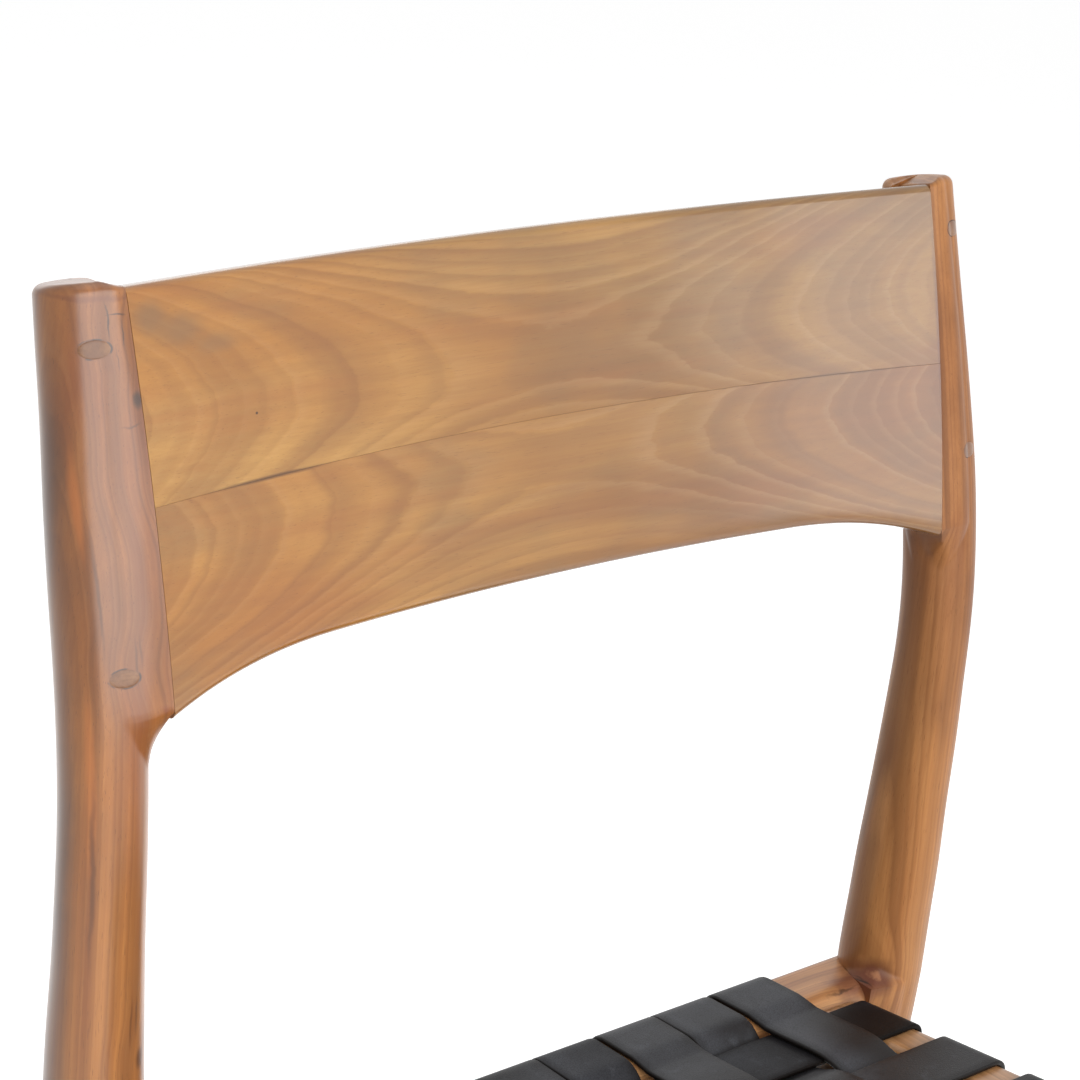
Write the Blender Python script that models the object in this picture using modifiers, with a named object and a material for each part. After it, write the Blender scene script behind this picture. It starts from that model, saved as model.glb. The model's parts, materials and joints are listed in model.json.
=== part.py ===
"""Teak dining chair with a woven leather strap seat.

Metres, +Z up, the front of the chair towards -Y. The origin is on the floor, under the middle
of the chair's box. Heights named HEIGHT are measured from the floor, and heights named RISE
are measured from the top of the rear seat rail, where the back posts stand upright.
"""
import math

import bmesh
import bpy
from mathutils import Matrix, Vector

# Overall sizes
OVERALL_DEPTH = 0.530
REAR_SEAT_HEIGHT = 0.432
SEAT_SLOPE_RISE = 0.023
CLEARANCE = 0.0003
OVERRUN = 0.02

# Rear legs, which run up into the back posts
POST_HALF_SPACING = 0.2215
POST_TOP_RISE = 0.372
POST_LEAN_IN = 0.0035
POST_BOW = 0.0043
POST_BOW_POWER = 1.6
POST_SWEEP = 0.0435
POST_BEND_START = 0.152
POST_BEND_END = 0.256
POST_SEAT_RADIUS = 0.020
POST_WAIST_RADIUS = 0.0163
POST_WAIST_RISE = 0.185
POST_TOP_RADIUS = 0.0150
POST_TOP_ROUND = 0.004
REAR_FOOT_RADIUS = 0.0130
REAR_LEG_RAKE = 0.058
REAR_LEG_RAKE_POWER = 1.4

# Front legs
FRONT_LEG_HALF_SPACING = 0.2315
FRONT_LEG_RADIUS = 0.019
FRONT_FOOT_RADIUS = 0.0125
FRONT_LEG_ABOVE_RAIL = 0.006
FRONT_LEG_TOP_ROUND = 0.005
FRONT_LEG_SWELL_SHARE = 0.72

# Curved back rail, glued up from two boards
RAIL_ABOVE_POST = 0.0015
RAIL_END_HEIGHT = 0.150
RAIL_TOP_DIP = 0.0025
RAIL_TOP_INSET = 0.0099
RAIL_BOTTOM_INSET = 0.0173
RAIL_FACE_FORWARD = 0.0121
RAIL_LEAN = 0.0393
RAIL_HOLLOW = 0.0026
RAIL_SAG = 0.018
RAIL_THICKNESS = 0.0185
RAIL_EDGE_ROUND = 0.0035
RAIL_ARCH_RISE = 0.0125
RAIL_ARCH_RUN = 0.083
RAIL_ARCH_POWER = 2.2
EAR_FLARE_HEIGHT = 0.021

# Lobe of each post that meets the corner of the seat frame
SEAT_EAR_REACH = 0.029
SEAT_EAR_ANGLE = math.radians(215)
SEAT_EAR_FADE = 0.012

# Tenons of the back rail and the oval pegs that lock them
RAIL_TENON_THICKNESS = 0.009
RAIL_TENON_SETBACK = 0.0065
RAIL_TENON_LENGTH = 0.020
RAIL_TENON_SHOULDER = 0.009
RAIL_TENON_SEAM_SHOULDER = 0.015
PEG_WIDTH = 0.0107
PEG_HEIGHT = 0.0066
PEG_LENGTH = 0.024
PEG_UPPER_DROP = 0.0240
PEG_LOWER_LEFT_LIFT = 0.0147
PEG_LOWER_RIGHT_LIFT = 0.0307
PEG_UPPER_OUTSET = 0.0039
PEG_LOWER_LEFT_OUTSET = 0.0008
PEG_LOWER_RIGHT_OUTSET = 0.0022

# Seat rails
SEAT_RAIL_HEIGHT = 0.042
REAR_RAIL_FRONT_SETOUT = 0.015
REAR_RAIL_BACK_SETOUT = 0.018
FRONT_RAIL_THICKNESS = 0.028
SIDE_RAIL_THICKNESS = 0.025
SIDE_RAIL_DROP = 0.006
SIDE_RAIL_REAR_INSET = 0.0295
SIDE_RAIL_FRONT_OUTSET = 0.0085
SEAT_RAIL_ROUND = 0.0045
CROSS_RAIL_INNER_ROUND = 0.011
SEAT_TENON_THICKNESS = 0.009
SEAT_TENON_HEIGHT = 0.026
REAR_TENON_REACH = 0.006
FRONT_TENON_STOP = 0.005
SIDE_TENON_STOP = 0.0072
SIDE_TENON_DEPTH = 0.014

# Corner blocks under the seat
BLOCK_LEG = 0.046
BLOCK_THICKNESS = 0.022
BLOCK_DROP = 0.012
BLOCK_TIP = 0.007
SCREW_RADIUS = 0.0020
SCREW_HEAD_RADIUS = 0.0040
SCREW_HEAD_LENGTH = 0.0030
SCREW_BITE = 0.012
SCREW_BLOCK_DEPTH = 0.010
SCREW_OFFSET = 0.026

# Leather straps
CROSSWISE_WIDTH = 0.0315
STRAP_THICKNESS = 0.0026
STRAP_TAIL_STOP = 0.005
LENGTHWISE_COUNT = 9
LENGTHWISE_REAR_GAP = 0.0008
LENGTHWISE_RAIL_GAP = 0.00855
LENGTHWISE_LEG_GAP = 0.00525
CROSSWISE_COUNT = 9
CROSSWISE_REAR_SETBACK = 0.0195
CROSSWISE_FRONT_SETBACK = 0.030
WEAVE_EASE = 0.0012
UNDER_DIP_TURN = math.radians(48)
OVER_DIP_TURN = math.radians(12)
DIP_STEPS = 3

# Feet
GLIDE_HEIGHT = 0.004
GLIDE_INSET = 0.0025
GLIDE_STEM_RADIUS = 0.003
GLIDE_STEM_LENGTH = 0.012

# Facets
POST_SIDES = 24
LEG_RINGS = 7
FLARE_RINGS = 4
WAIST_RINGS = 5
HEAD_RINGS = 8
RAIL_COLUMNS = 20
RAIL_ROWS = 4
HOUSING_ROWS = 12
PEG_SIDES = 16
SCREW_SIDES = 10
GLIDE_SIDES = 16
BEND_STEPS = 4
ROUND_STEPS = 3

# Places worked out from the sizes above
POST_Y = OVERALL_DEPTH / 2 - REAR_FOOT_RADIUS - REAR_LEG_RAKE
FRONT_LEG_Y = FRONT_LEG_RADIUS - OVERALL_DEPTH / 2
LEG_SPACING = POST_Y - FRONT_LEG_Y
REAR_RAIL_FRONT_Y = POST_Y - REAR_RAIL_FRONT_SETOUT
REAR_RAIL_BACK_Y = POST_Y + REAR_RAIL_BACK_SETOUT
FRONT_RAIL_FRONT_Y = FRONT_LEG_Y - FRONT_RAIL_THICKNESS / 2
FRONT_RAIL_BACK_Y = FRONT_LEG_Y + FRONT_RAIL_THICKNESS / 2
FRONT_SEAT_HEIGHT = REAR_SEAT_HEIGHT + SEAT_SLOPE_RISE
FRONT_LEG_TOP = FRONT_SEAT_HEIGHT + FRONT_LEG_ABOVE_RAIL
LEG_BOTTOM = GLIDE_HEIGHT + CLEARANCE
STRAP_OFFSET = CLEARANCE + STRAP_THICKNESS / 2
WEAVE_LIFT = STRAP_THICKNESS + CLEARANCE
SIDE_RAIL_HALF_REAR = POST_HALF_SPACING - SIDE_RAIL_REAR_INSET
SIDE_RAIL_HALF_FRONT = FRONT_LEG_HALF_SPACING + SIDE_RAIL_FRONT_OUTSET
SIDE_SPLAY = (SIDE_RAIL_HALF_FRONT - SIDE_RAIL_HALF_REAR) / LEG_SPACING
SEAT_SLOPE = SEAT_SLOPE_RISE / LEG_SPACING
RAIL_END_TOP_RISE = POST_TOP_RISE + RAIL_ABOVE_POST
RAIL_END_BOTTOM_RISE = RAIL_END_TOP_RISE - RAIL_END_HEIGHT
RAIL_SEAM_RISE = RAIL_END_TOP_RISE - RAIL_END_HEIGHT / 2
RAIL_HALF_LENGTH_TOP = POST_HALF_SPACING - POST_LEAN_IN - RAIL_TOP_INSET
RAIL_HALF_LENGTH_BOTTOM = POST_HALF_SPACING - RAIL_BOTTOM_INSET
PEG_UPPER_RISE = RAIL_END_TOP_RISE - PEG_UPPER_DROP
PEG_PLACES = {
    "left": (
        ("upper", PEG_UPPER_RISE, PEG_UPPER_OUTSET),
        ("lower", RAIL_END_BOTTOM_RISE + PEG_LOWER_LEFT_LIFT, PEG_LOWER_LEFT_OUTSET),
    ),
    "right": (
        ("upper", PEG_UPPER_RISE, PEG_UPPER_OUTSET),
        ("lower", RAIL_END_BOTTOM_RISE + PEG_LOWER_RIGHT_LIFT, PEG_LOWER_RIGHT_OUTSET),
    ),
}
LENGTHWISE_REAR_EDGE = SIDE_RAIL_HALF_REAR - SIDE_RAIL_THICKNESS - LENGTHWISE_RAIL_GAP
LENGTHWISE_REAR_PITCH = (2 * LENGTHWISE_REAR_EDGE + LENGTHWISE_REAR_GAP) / LENGTHWISE_COUNT
LENGTHWISE_WIDTH = LENGTHWISE_REAR_PITCH - LENGTHWISE_REAR_GAP
LENGTHWISE_FRONT_EDGE = FRONT_LEG_HALF_SPACING - FRONT_LEG_RADIUS - LENGTHWISE_LEG_GAP
LENGTHWISE_FRONT_PITCH = (2 * LENGTHWISE_FRONT_EDGE - LENGTHWISE_WIDTH) / (LENGTHWISE_COUNT - 1)
CROSSWISE_FIRST_Y = REAR_RAIL_FRONT_Y - CROSSWISE_REAR_SETBACK
CROSSWISE_LAST_Y = FRONT_RAIL_BACK_Y + CROSSWISE_FRONT_SETBACK
CROSSWISE_PITCH = (CROSSWISE_FIRST_Y - CROSSWISE_LAST_Y) / (CROSSWISE_COUNT - 1)
SIDES = (("left", -1), ("right", 1))

MODEL = "teak_dining_chair"
CUTTERS = "chair_cutters"


def clear_scene():
    """Remove every object, and start the two collections."""
    for item in list(bpy.data.objects):
        bpy.data.objects.remove(item, do_unlink=True)
    for name in (MODEL, CUTTERS):
        if name not in bpy.data.collections:
            bpy.context.scene.collection.children.link(bpy.data.collections.new(name))


def finish_material(name, color, roughness, metallic=0.0):
    """Return a Principled material of one finish."""
    material = bpy.data.materials.new(name)
    material.use_nodes = True
    material.diffuse_color = (*color, 1.0)
    shader = material.node_tree.nodes["Principled BSDF"]
    shader.inputs["Base Color"].default_value = (*color, 1.0)
    shader.inputs["Roughness"].default_value = roughness
    shader.inputs["Metallic"].default_value = metallic
    return material


def teak_material():
    """Honey brown teak under a satin lacquer."""
    return finish_material("satin_teak", (0.36, 0.175, 0.065), 0.38)


def peg_material():
    """Greyer teak of the peg ends."""
    return finish_material("grey_teak_peg", (0.30, 0.20, 0.13), 0.42)


def leather_material():
    """Smooth black leather with a soft sheen."""
    return finish_material("black_leather", (0.012, 0.012, 0.013), 0.42)


def block_material():
    """Plain unfinished wood under the seat."""
    return finish_material("plain_wood_block", (0.42, 0.27, 0.14), 0.60)


def screw_material():
    """Dull zinc of the screws."""
    return finish_material("zinc_screw", (0.55, 0.55, 0.52), 0.35, 1.0)


def glide_material():
    """Dark plastic of the foot glides."""
    return finish_material("dark_glide", (0.03, 0.028, 0.026), 0.55)


def share_between(value, start, end):
    """Return how far a value has gone from start to end, held between 0 and 1."""
    return min(1.0, max(0.0, (value - start) / (end - start)))


def mix(first, last, share):
    """Return the value at a share of the way from first to last."""
    return first + (last - first) * share


def ease(share):
    """Smooth a share so that it starts and stops gently."""
    return share * share * (3 - 2 * share)


def new_object(name, mesh, material=None, cutter=False):
    """Put a mesh in the model's collection, or in the cutters'."""
    item = bpy.data.objects.new(name, mesh)
    bpy.data.collections[CUTTERS if cutter else MODEL].objects.link(item)
    if cutter:
        item.hide_render = True
        item.display_type = "WIRE"
    if material:
        mesh.materials.append(material)
    return item


def mesh_from(name, work, smooth_angle=math.radians(35)):
    """Turn a bmesh into a mesh with outward faces, smooth where it is round."""
    work.normal_update()
    bmesh.ops.recalc_face_normals(work, faces=work.faces)
    mesh = bpy.data.meshes.new(name)
    work.to_mesh(mesh)
    work.free()
    mesh.shade_smooth()
    mesh.set_sharp_from_angle(angle=smooth_angle)
    return mesh


def loft_mesh(name, rings):
    """Skin a row of rings, each a closed outline, and close both ends."""
    work = bmesh.new()
    rows = [[work.verts.new(point) for point in ring] for ring in rings]
    count = len(rows[0])
    for low, high in zip(rows, rows[1:]):
        for index in range(count):
            after = (index + 1) % count
            work.faces.new((low[index], low[after], high[after], high[index]))
    work.faces.new(rows[0][::-1])
    work.faces.new(rows[-1])
    return mesh_from(name, work)


def cut(item, cutter, operation="DIFFERENCE"):
    """Add an exact Boolean with a cutter or a tool."""
    step = item.modifiers.new(cutter.name, "BOOLEAN")
    step.object = cutter
    step.operation = operation
    step.solver = "EXACT"


def box_corners_mesh(name, corners):
    """Make a block from a cube whose corners go to eight given places.

    corners(across, along, up) gives the place of the corner whose three signs are -1 or 1.
    """
    work = bmesh.new()
    bmesh.ops.create_cube(work, size=2)
    for vert in work.verts:
        vert.co = corners(round(vert.co.x), round(vert.co.y), round(vert.co.z))
    return mesh_from(name, work)


def plain_box_mesh(name, low, high):
    """Make a square block between two opposite corners."""
    def corner(across, along, up):
        return Vector((
            high[0] if across > 0 else low[0],
            high[1] if along > 0 else low[1],
            high[2] if up > 0 else low[2],
        ))
    return box_corners_mesh(name, corner)


def cross_rail_mesh(name, low, high, inner):
    """Make a rail that runs across the chair, with its long edges rounded.

    inner is the sign of the rail's side that faces the seat. The straps dip over the top
    edge there, so that edge is rounded more than the others.
    """
    work = bmesh.new()
    bmesh.ops.create_cube(work, size=2)
    for vert in work.verts:
        vert.co = [high[axis] if vert.co[axis] > 0 else low[axis] for axis in range(3)]
    long_edges = [edge for edge in work.edges
                  if abs(edge.verts[0].co.x - edge.verts[1].co.x) > CLEARANCE]
    inner_y = high[1] if inner > 0 else low[1]
    inner_edges = [edge for edge in long_edges
                   if abs(edge.verts[0].co.y - inner_y) < CLEARANCE
                   and abs(edge.verts[0].co.z - high[2]) < CLEARANCE]
    other_edges = [edge for edge in long_edges if edge not in inner_edges]
    bmesh.ops.bevel(work, geom=other_edges, offset=SEAT_RAIL_ROUND, segments=ROUND_STEPS,
                    profile=0.5, affect="EDGES")
    inner_edges = [edge for edge in work.edges
                   if all(abs(vert.co.y - inner_y) < CLEARANCE for vert in edge.verts)
                   and all(abs(vert.co.z - high[2]) < CLEARANCE for vert in edge.verts)]
    bmesh.ops.bevel(work, geom=inner_edges, offset=CROSS_RAIL_INNER_ROUND,
                    segments=2 * ROUND_STEPS, profile=0.5, affect="EDGES")
    return mesh_from(name, work)


def round_edges(item, width, steps=ROUND_STEPS):
    """Round the sharp edges of a piece."""
    step = item.modifiers.new("rounded_edges", "BEVEL")
    step.width = width
    step.segments = steps
    step.limit_method = "ANGLE"
    step.angle_limit = math.radians(40)
    step.use_clamp_overlap = True


def post_centre(rise):
    """Return the centre of the back post, or of the rear leg below it, at a rise."""
    if rise >= 0:
        share = rise / POST_TOP_RISE
        bow = POST_BOW * (4 * share * max(0.0, 1 - share)) ** POST_BOW_POWER
        across = POST_HALF_SPACING - POST_LEAN_IN * share + bow
        lean = POST_SWEEP / (POST_TOP_RISE - (POST_BEND_START + POST_BEND_END) / 2)
        bent = share_between(rise, POST_BEND_START, POST_BEND_END)
        straight = max(0.0, rise - POST_BEND_END)
        sweep = (POST_BEND_END - POST_BEND_START) * bent * bent / 2 + straight
        return across, POST_Y + lean * sweep
    share = -rise / (REAR_SEAT_HEIGHT - LEG_BOTTOM)
    return POST_HALF_SPACING, POST_Y + REAR_LEG_RAKE * share ** REAR_LEG_RAKE_POWER


def post_radius(rise):
    """Return the radius of the round part of the post or leg at a rise."""
    if rise < 0:
        share = -rise / (REAR_SEAT_HEIGHT - LEG_BOTTOM)
        return mix(POST_SEAT_RADIUS, REAR_FOOT_RADIUS, share)
    if rise < POST_WAIST_RISE:
        return mix(POST_SEAT_RADIUS, POST_WAIST_RADIUS, ease(rise / POST_WAIST_RISE))
    share = share_between(rise, POST_WAIST_RISE, POST_TOP_RISE)
    return mix(POST_WAIST_RADIUS, POST_TOP_RADIUS, share ** 3)


def post_slope(rise):
    """Return how far the post runs back for each unit that it climbs."""
    step = CLEARANCE
    return (post_centre(rise + step)[1] - post_centre(rise - step)[1]) / (2 * step)


def joint_line(rise):
    """Return the place across and along where the rail's front face meets the post."""
    share = (rise - RAIL_END_BOTTOM_RISE) / (RAIL_END_TOP_RISE - RAIL_END_BOTTOM_RISE)
    across = mix(RAIL_HALF_LENGTH_BOTTOM, RAIL_HALF_LENGTH_TOP, share)
    along = POST_Y - RAIL_FACE_FORWARD + RAIL_LEAN * share - 4 * RAIL_HOLLOW * share * (1 - share)
    return across, along


def seat_ear(rise):
    """Return the reach of the lobe that meets the corner of the seat frame."""
    outside = max(rise, -SEAT_RAIL_HEIGHT - rise, 0.0)
    fade = 1 - share_between(outside, 0.0, SEAT_EAR_FADE)
    return mix(post_radius(rise), SEAT_EAR_REACH, fade * fade)


def ear_tip(rise):
    """Return the reach and the direction of the ear that runs out to meet the rail."""
    level = max(rise, RAIL_END_BOTTOM_RISE)
    level += post_slope(level) * (post_centre(level)[1] - joint_line(level)[1])
    base_across, base_along = post_centre(max(rise, RAIL_END_BOTTOM_RISE))
    tip_across, tip_along = joint_line(level)
    reach = math.hypot(tip_across - base_across, tip_along - base_along)
    angle = math.atan2(tip_along - base_along, tip_across - base_across)
    if rise < RAIL_END_BOTTOM_RISE:
        fade = 1 - share_between(RAIL_END_BOTTOM_RISE - rise, 0.0, EAR_FLARE_HEIGHT)
        radius = post_radius(rise)
        reach = radius + (reach - post_radius(RAIL_END_BOTTOM_RISE)) * fade * fade
        reach = max(reach, seat_ear(rise))
        turn = share_between(rise, 0.0, RAIL_END_BOTTOM_RISE - EAR_FLARE_HEIGHT)
        angle = mix(SEAT_EAR_ANGLE, angle % (2 * math.pi), turn)
    return reach, angle


def post_ring(rise, side, grow=0.0, inset=0.0, lift=0.0):
    """Return one outline of the post: a circle drawn out to the ear's tip.

    The outline is square to the post's centre line. It is grown or drawn in evenly, and
    lift raises it along the centre line.
    """
    across, along = post_centre(rise)
    radius = post_radius(rise)
    reach, tip_angle = ear_tip(rise)
    slope = post_slope(rise)
    tangent = math.acos(min(1.0, radius / reach))
    ring = []
    for index in range(POST_SIDES):
        angle = tip_angle + 2 * math.pi * index / POST_SIDES
        turn = abs(math.remainder(angle - tip_angle, 2 * math.pi))
        distance = radius / math.cos(max(0.0, tangent - turn)) + grow - inset
        x = distance * math.cos(angle)
        y = distance * math.sin(angle)
        z = REAR_SEAT_HEIGHT + rise - slope * y
        ring.append(Vector((side * (across + x), along + y + slope * lift, z + lift)))
    return ring


def post_rises():
    """Return the rises of the post's rings, closer together where its shape changes."""
    stretches = (
        (LEG_BOTTOM - REAR_SEAT_HEIGHT, -SEAT_RAIL_HEIGHT - SEAT_EAR_FADE, LEG_RINGS),
        (-SEAT_RAIL_HEIGHT - SEAT_EAR_FADE, -SEAT_RAIL_HEIGHT, FLARE_RINGS),
        (-SEAT_RAIL_HEIGHT, 0.0, 1),
        (0.0, SEAT_EAR_FADE, FLARE_RINGS),
        (SEAT_EAR_FADE, RAIL_END_BOTTOM_RISE - EAR_FLARE_HEIGHT, WAIST_RINGS),
        (RAIL_END_BOTTOM_RISE - EAR_FLARE_HEIGHT, RAIL_END_BOTTOM_RISE, FLARE_RINGS),
        (RAIL_END_BOTTOM_RISE, POST_TOP_RISE - POST_TOP_ROUND, HEAD_RINGS),
    )
    rises = [mix(low, high, index / count)
             for low, high, count in stretches for index in range(count)]
    return rises + [stretches[-1][1]]


def post_blank_mesh(name, side, grow=0.0):
    """Make the whole post and leg before any joint is cut in it."""
    rises = post_rises()
    rings = [post_ring(rise, side, grow) for rise in rises]
    for rounded in rings[:1]:
        for point in rounded:
            point.z = LEG_BOTTOM - grow
    for step in range(1, ROUND_STEPS + 1):
        turn = math.pi / 2 * step / ROUND_STEPS
        inset = POST_TOP_ROUND * (1 - math.cos(turn))
        lift = POST_TOP_ROUND * math.sin(turn)
        rings.append(post_ring(rises[-1], side, grow, inset, lift))
    return loft_mesh(name, rings)


def rail_bottom(share, half_length):
    """Return the rise of the back rail's lower edge at a share of its half length."""
    from_end = half_length * (1 - abs(share))
    drop = (1 - share_between(from_end, 0.0, RAIL_ARCH_RUN)) ** RAIL_ARCH_POWER
    return RAIL_END_BOTTOM_RISE + RAIL_ARCH_RISE * (1 - drop)


def rail_top(share):
    """Return the rise of the back rail's top edge, which dips a little in the middle."""
    return RAIL_END_TOP_RISE - RAIL_TOP_DIP * (1 - share * share)


def joint_slope(rise):
    """Return how far the rail's front face runs back for each unit that it climbs."""
    step = CLEARANCE
    return (joint_line(rise + step)[1] - joint_line(rise - step)[1]) / (2 * step)


def rail_point(share, rise, depth):
    """Return a point of the back rail from its share of the half length, rise and depth.

    The rise is that of the front face, and the depth runs back square to that face.
    """
    across, along = joint_line(rise)
    along += RAIL_SAG * (1 - share * share)
    slope = joint_slope(rise)
    back = depth / math.hypot(1.0, slope)
    return Vector((share * across, along + back, REAR_SEAT_HEIGHT + rise - back * slope))


def bent_board_mesh(name, low_rise, high_rise, end_gap, front, back, rounded, rows=RAIL_ROWS):
    """Make a board that follows the back rail's curve and lean.

    low_rise and high_rise give its edges from the share of the half length. rounded says
    which of its long edges, "top" or "bottom", is rounded, if any.
    """
    work = bmesh.new()
    bmesh.ops.create_cube(work, size=2)
    for axis, cuts in ((0, RAIL_COLUMNS - 1), (2, rows - 1)):
        edges = [edge for edge in work.edges
                 if abs(edge.verts[0].co[axis] - edge.verts[1].co[axis]) > 1]
        bmesh.ops.subdivide_edges(work, edges=edges, cuts=cuts, use_grid_fill=True)
    limit = {"top": 1, "bottom": -1}.get(rounded)
    edges = [edge for edge in work.edges
             if all(abs(vert.co.z - (limit or 0)) < CLEARANCE for vert in edge.verts)
             and edge.verts[0].co.y * edge.verts[1].co.y > 0
             and abs(edge.verts[0].co.y - edge.verts[1].co.y) < CLEARANCE] if limit else []
    half = mix(RAIL_HALF_LENGTH_BOTTOM, RAIL_HALF_LENGTH_TOP, 0.5)
    places = {}
    for vert in work.verts:
        share = math.sin(vert.co.x * math.pi / 2) * (1 - end_gap / half)
        rise = mix(low_rise(share), high_rise(share), (vert.co.z + 1) / 2)
        places[vert] = rail_point(share, rise, back if vert.co.y > 0 else front)
    for vert, place in places.items():
        vert.co = place
    if edges:
        work.normal_update()
        bmesh.ops.bevel(work, geom=edges, offset=RAIL_EDGE_ROUND, segments=ROUND_STEPS,
                        profile=0.5, affect="EDGES", clamp_overlap=True)
    return mesh_from(name, work)


def leaning_block_mesh(name, side, start, stop, low, high, front, back):
    """Make a block that leans with the back rail's end, for a tenon or its mortise."""
    def corner(across, along, up):
        rise = high if up > 0 else low
        depth = back if along > 0 else front
        place = joint_line(rise)[1] + depth
        return Vector((side * (stop if across > 0 else start), place, REAR_SEAT_HEIGHT + rise))
    return box_corners_mesh(name, corner)


def rail_tenon_spans():
    """Return the name, low rise and high rise of the tenon on each board."""
    return (
        ("upper", RAIL_SEAM_RISE + RAIL_TENON_SEAM_SHOULDER, RAIL_END_TOP_RISE - RAIL_TENON_SHOULDER),
        ("lower", RAIL_END_BOTTOM_RISE + RAIL_TENON_SHOULDER, RAIL_SEAM_RISE - RAIL_TENON_SEAM_SHOULDER),
    )


def rail_tenon(board, side_name, side, low, high, gap=0.0):
    """Make a tenon of the back rail, or the tool for its mortise when it has a gap."""
    middle = mix(RAIL_HALF_LENGTH_BOTTOM, RAIL_HALF_LENGTH_TOP, 0.5)
    kind = "mortise" if gap else "tenon"
    name = f"back_rail_{board}_{kind}_{side_name}"
    front = RAIL_TENON_SETBACK - gap
    back = RAIL_TENON_SETBACK + RAIL_TENON_THICKNESS + gap
    mesh = leaning_block_mesh(
        name, side, middle - RAIL_TENON_LENGTH / 2, middle + RAIL_TENON_LENGTH + gap,
        low - gap, high + gap, front, back)
    return new_object(name, mesh, cutter=True)


def peg_matrix(side, rise, outset):
    """Return the frame of a peg: its length runs back, square to the post."""
    across, along = post_centre(rise)
    slope = post_slope(rise)
    back = Vector((0.0, 1.0, -slope)).normalized()
    up = Vector((0.0, slope, 1.0)).normalized()
    start = Vector((side * (across + outset), along, REAR_SEAT_HEIGHT + rise))
    start -= back * post_radius(rise)
    turn = Matrix((back.cross(up), up, -back)).transposed().to_4x4()
    turn.translation = start
    return turn


def peg_prism_mesh(name, side, place, gap, front, back):
    """Make an oval prism along a peg's length."""
    work = bmesh.new()
    bmesh.ops.create_cone(work, cap_ends=True, segments=PEG_SIDES, radius1=1, radius2=1, depth=1)
    bmesh.ops.translate(work, verts=work.verts, vec=(0, 0, -1 / 2))
    length = front + back
    bmesh.ops.scale(work, verts=work.verts,
                    vec=(PEG_WIDTH / 2 + gap, PEG_HEIGHT / 2 + gap, length))
    bmesh.ops.translate(work, verts=work.verts, vec=(0, 0, front))
    bmesh.ops.transform(work, verts=work.verts, matrix=peg_matrix(side, *place))
    return mesh_from(name, work)


def build_pegs(material):
    """Make the four oval pegs, flush with the posts, and return the tools for their holes."""
    holes = {}
    for side_name, side in SIDES:
        skin = new_object(f"post_skin_{side_name}", post_blank_mesh("post_skin", side), cutter=True)
        for level, *place in PEG_PLACES[side_name]:
            name = f"oval_peg_{level}_{side_name}"
            mesh = peg_prism_mesh(name, side, place, 0.0, OVERRUN / 2, PEG_LENGTH)
            peg = new_object(name, mesh, material)
            cut(peg, skin, "INTERSECT")
            hole = peg_prism_mesh(name + "_hole", side, place, CLEARANCE, OVERRUN,
                                  PEG_LENGTH + CLEARANCE)
            holes[level, side_name] = new_object(name + "_hole", hole, cutter=True)
    return holes


def build_back_rail(material, holes):
    """Make the two boards of the curved back rail with their tenons."""
    seam_gap = CLEARANCE / 2
    edges = {
        "upper": (lambda share: RAIL_SEAM_RISE + seam_gap, rail_top, "top"),
        "lower": (lambda share: rail_bottom(share, RAIL_HALF_LENGTH_BOTTOM),
                  lambda share: RAIL_SEAM_RISE - seam_gap, "bottom"),
    }
    for board, low, high in rail_tenon_spans():
        low_rise, high_rise, rounded = edges[board]
        name = f"back_rail_{board}_board"
        mesh = bent_board_mesh(name, low_rise, high_rise, 0.0, 0.0, RAIL_THICKNESS, rounded)
        item = new_object(name, mesh, material)
        for side_name, side in SIDES:
            cut(item, rail_tenon(board, side_name, side, low, high), "UNION")
            cut(item, holes[board, side_name])


def rail_housing(side_name):
    """Make the tool that lets the back rail's ends into the posts."""
    mesh = bent_board_mesh(
        "back_rail_housing", lambda share: rail_bottom(share, RAIL_HALF_LENGTH_BOTTOM) - CLEARANCE,
        lambda share: RAIL_END_TOP_RISE + OVERRUN, -CLEARANCE, -OVERRUN,
        RAIL_THICKNESS + CLEARANCE, None, HOUSING_ROWS)
    return new_object(f"back_rail_housing_{side_name}", mesh, cutter=True)


def seat_top(y):
    """Return the height of the side rails' top at a place along the seat."""
    return REAR_SEAT_HEIGHT - SIDE_RAIL_DROP + SEAT_SLOPE * (POST_Y - y)


def side_face(y):
    """Return how far the side rail's outer face is from the middle."""
    return SIDE_RAIL_HALF_REAR + SIDE_SPLAY * (REAR_RAIL_FRONT_Y - y)


def rear_tenon_box(name, side, gap=0.0):
    """Make the tenon at the end of the rear seat rail, or the tool for its mortise."""
    middle_y = (REAR_RAIL_FRONT_Y + REAR_RAIL_BACK_Y) / 2
    middle_z = REAR_SEAT_HEIGHT - SEAT_RAIL_HEIGHT / 2
    half_y = SEAT_TENON_THICKNESS / 2 + gap
    half_z = SEAT_TENON_HEIGHT / 2 + gap
    ends = (side * (POST_HALF_SPACING - POST_SEAT_RADIUS * 2),
            side * (POST_HALF_SPACING + REAR_TENON_REACH + gap))
    mesh = plain_box_mesh(name, (min(ends), middle_y - half_y, middle_z - half_z),
                          (max(ends), middle_y + half_y, middle_z + half_z))
    return new_object(name, mesh, cutter=True)


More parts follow.
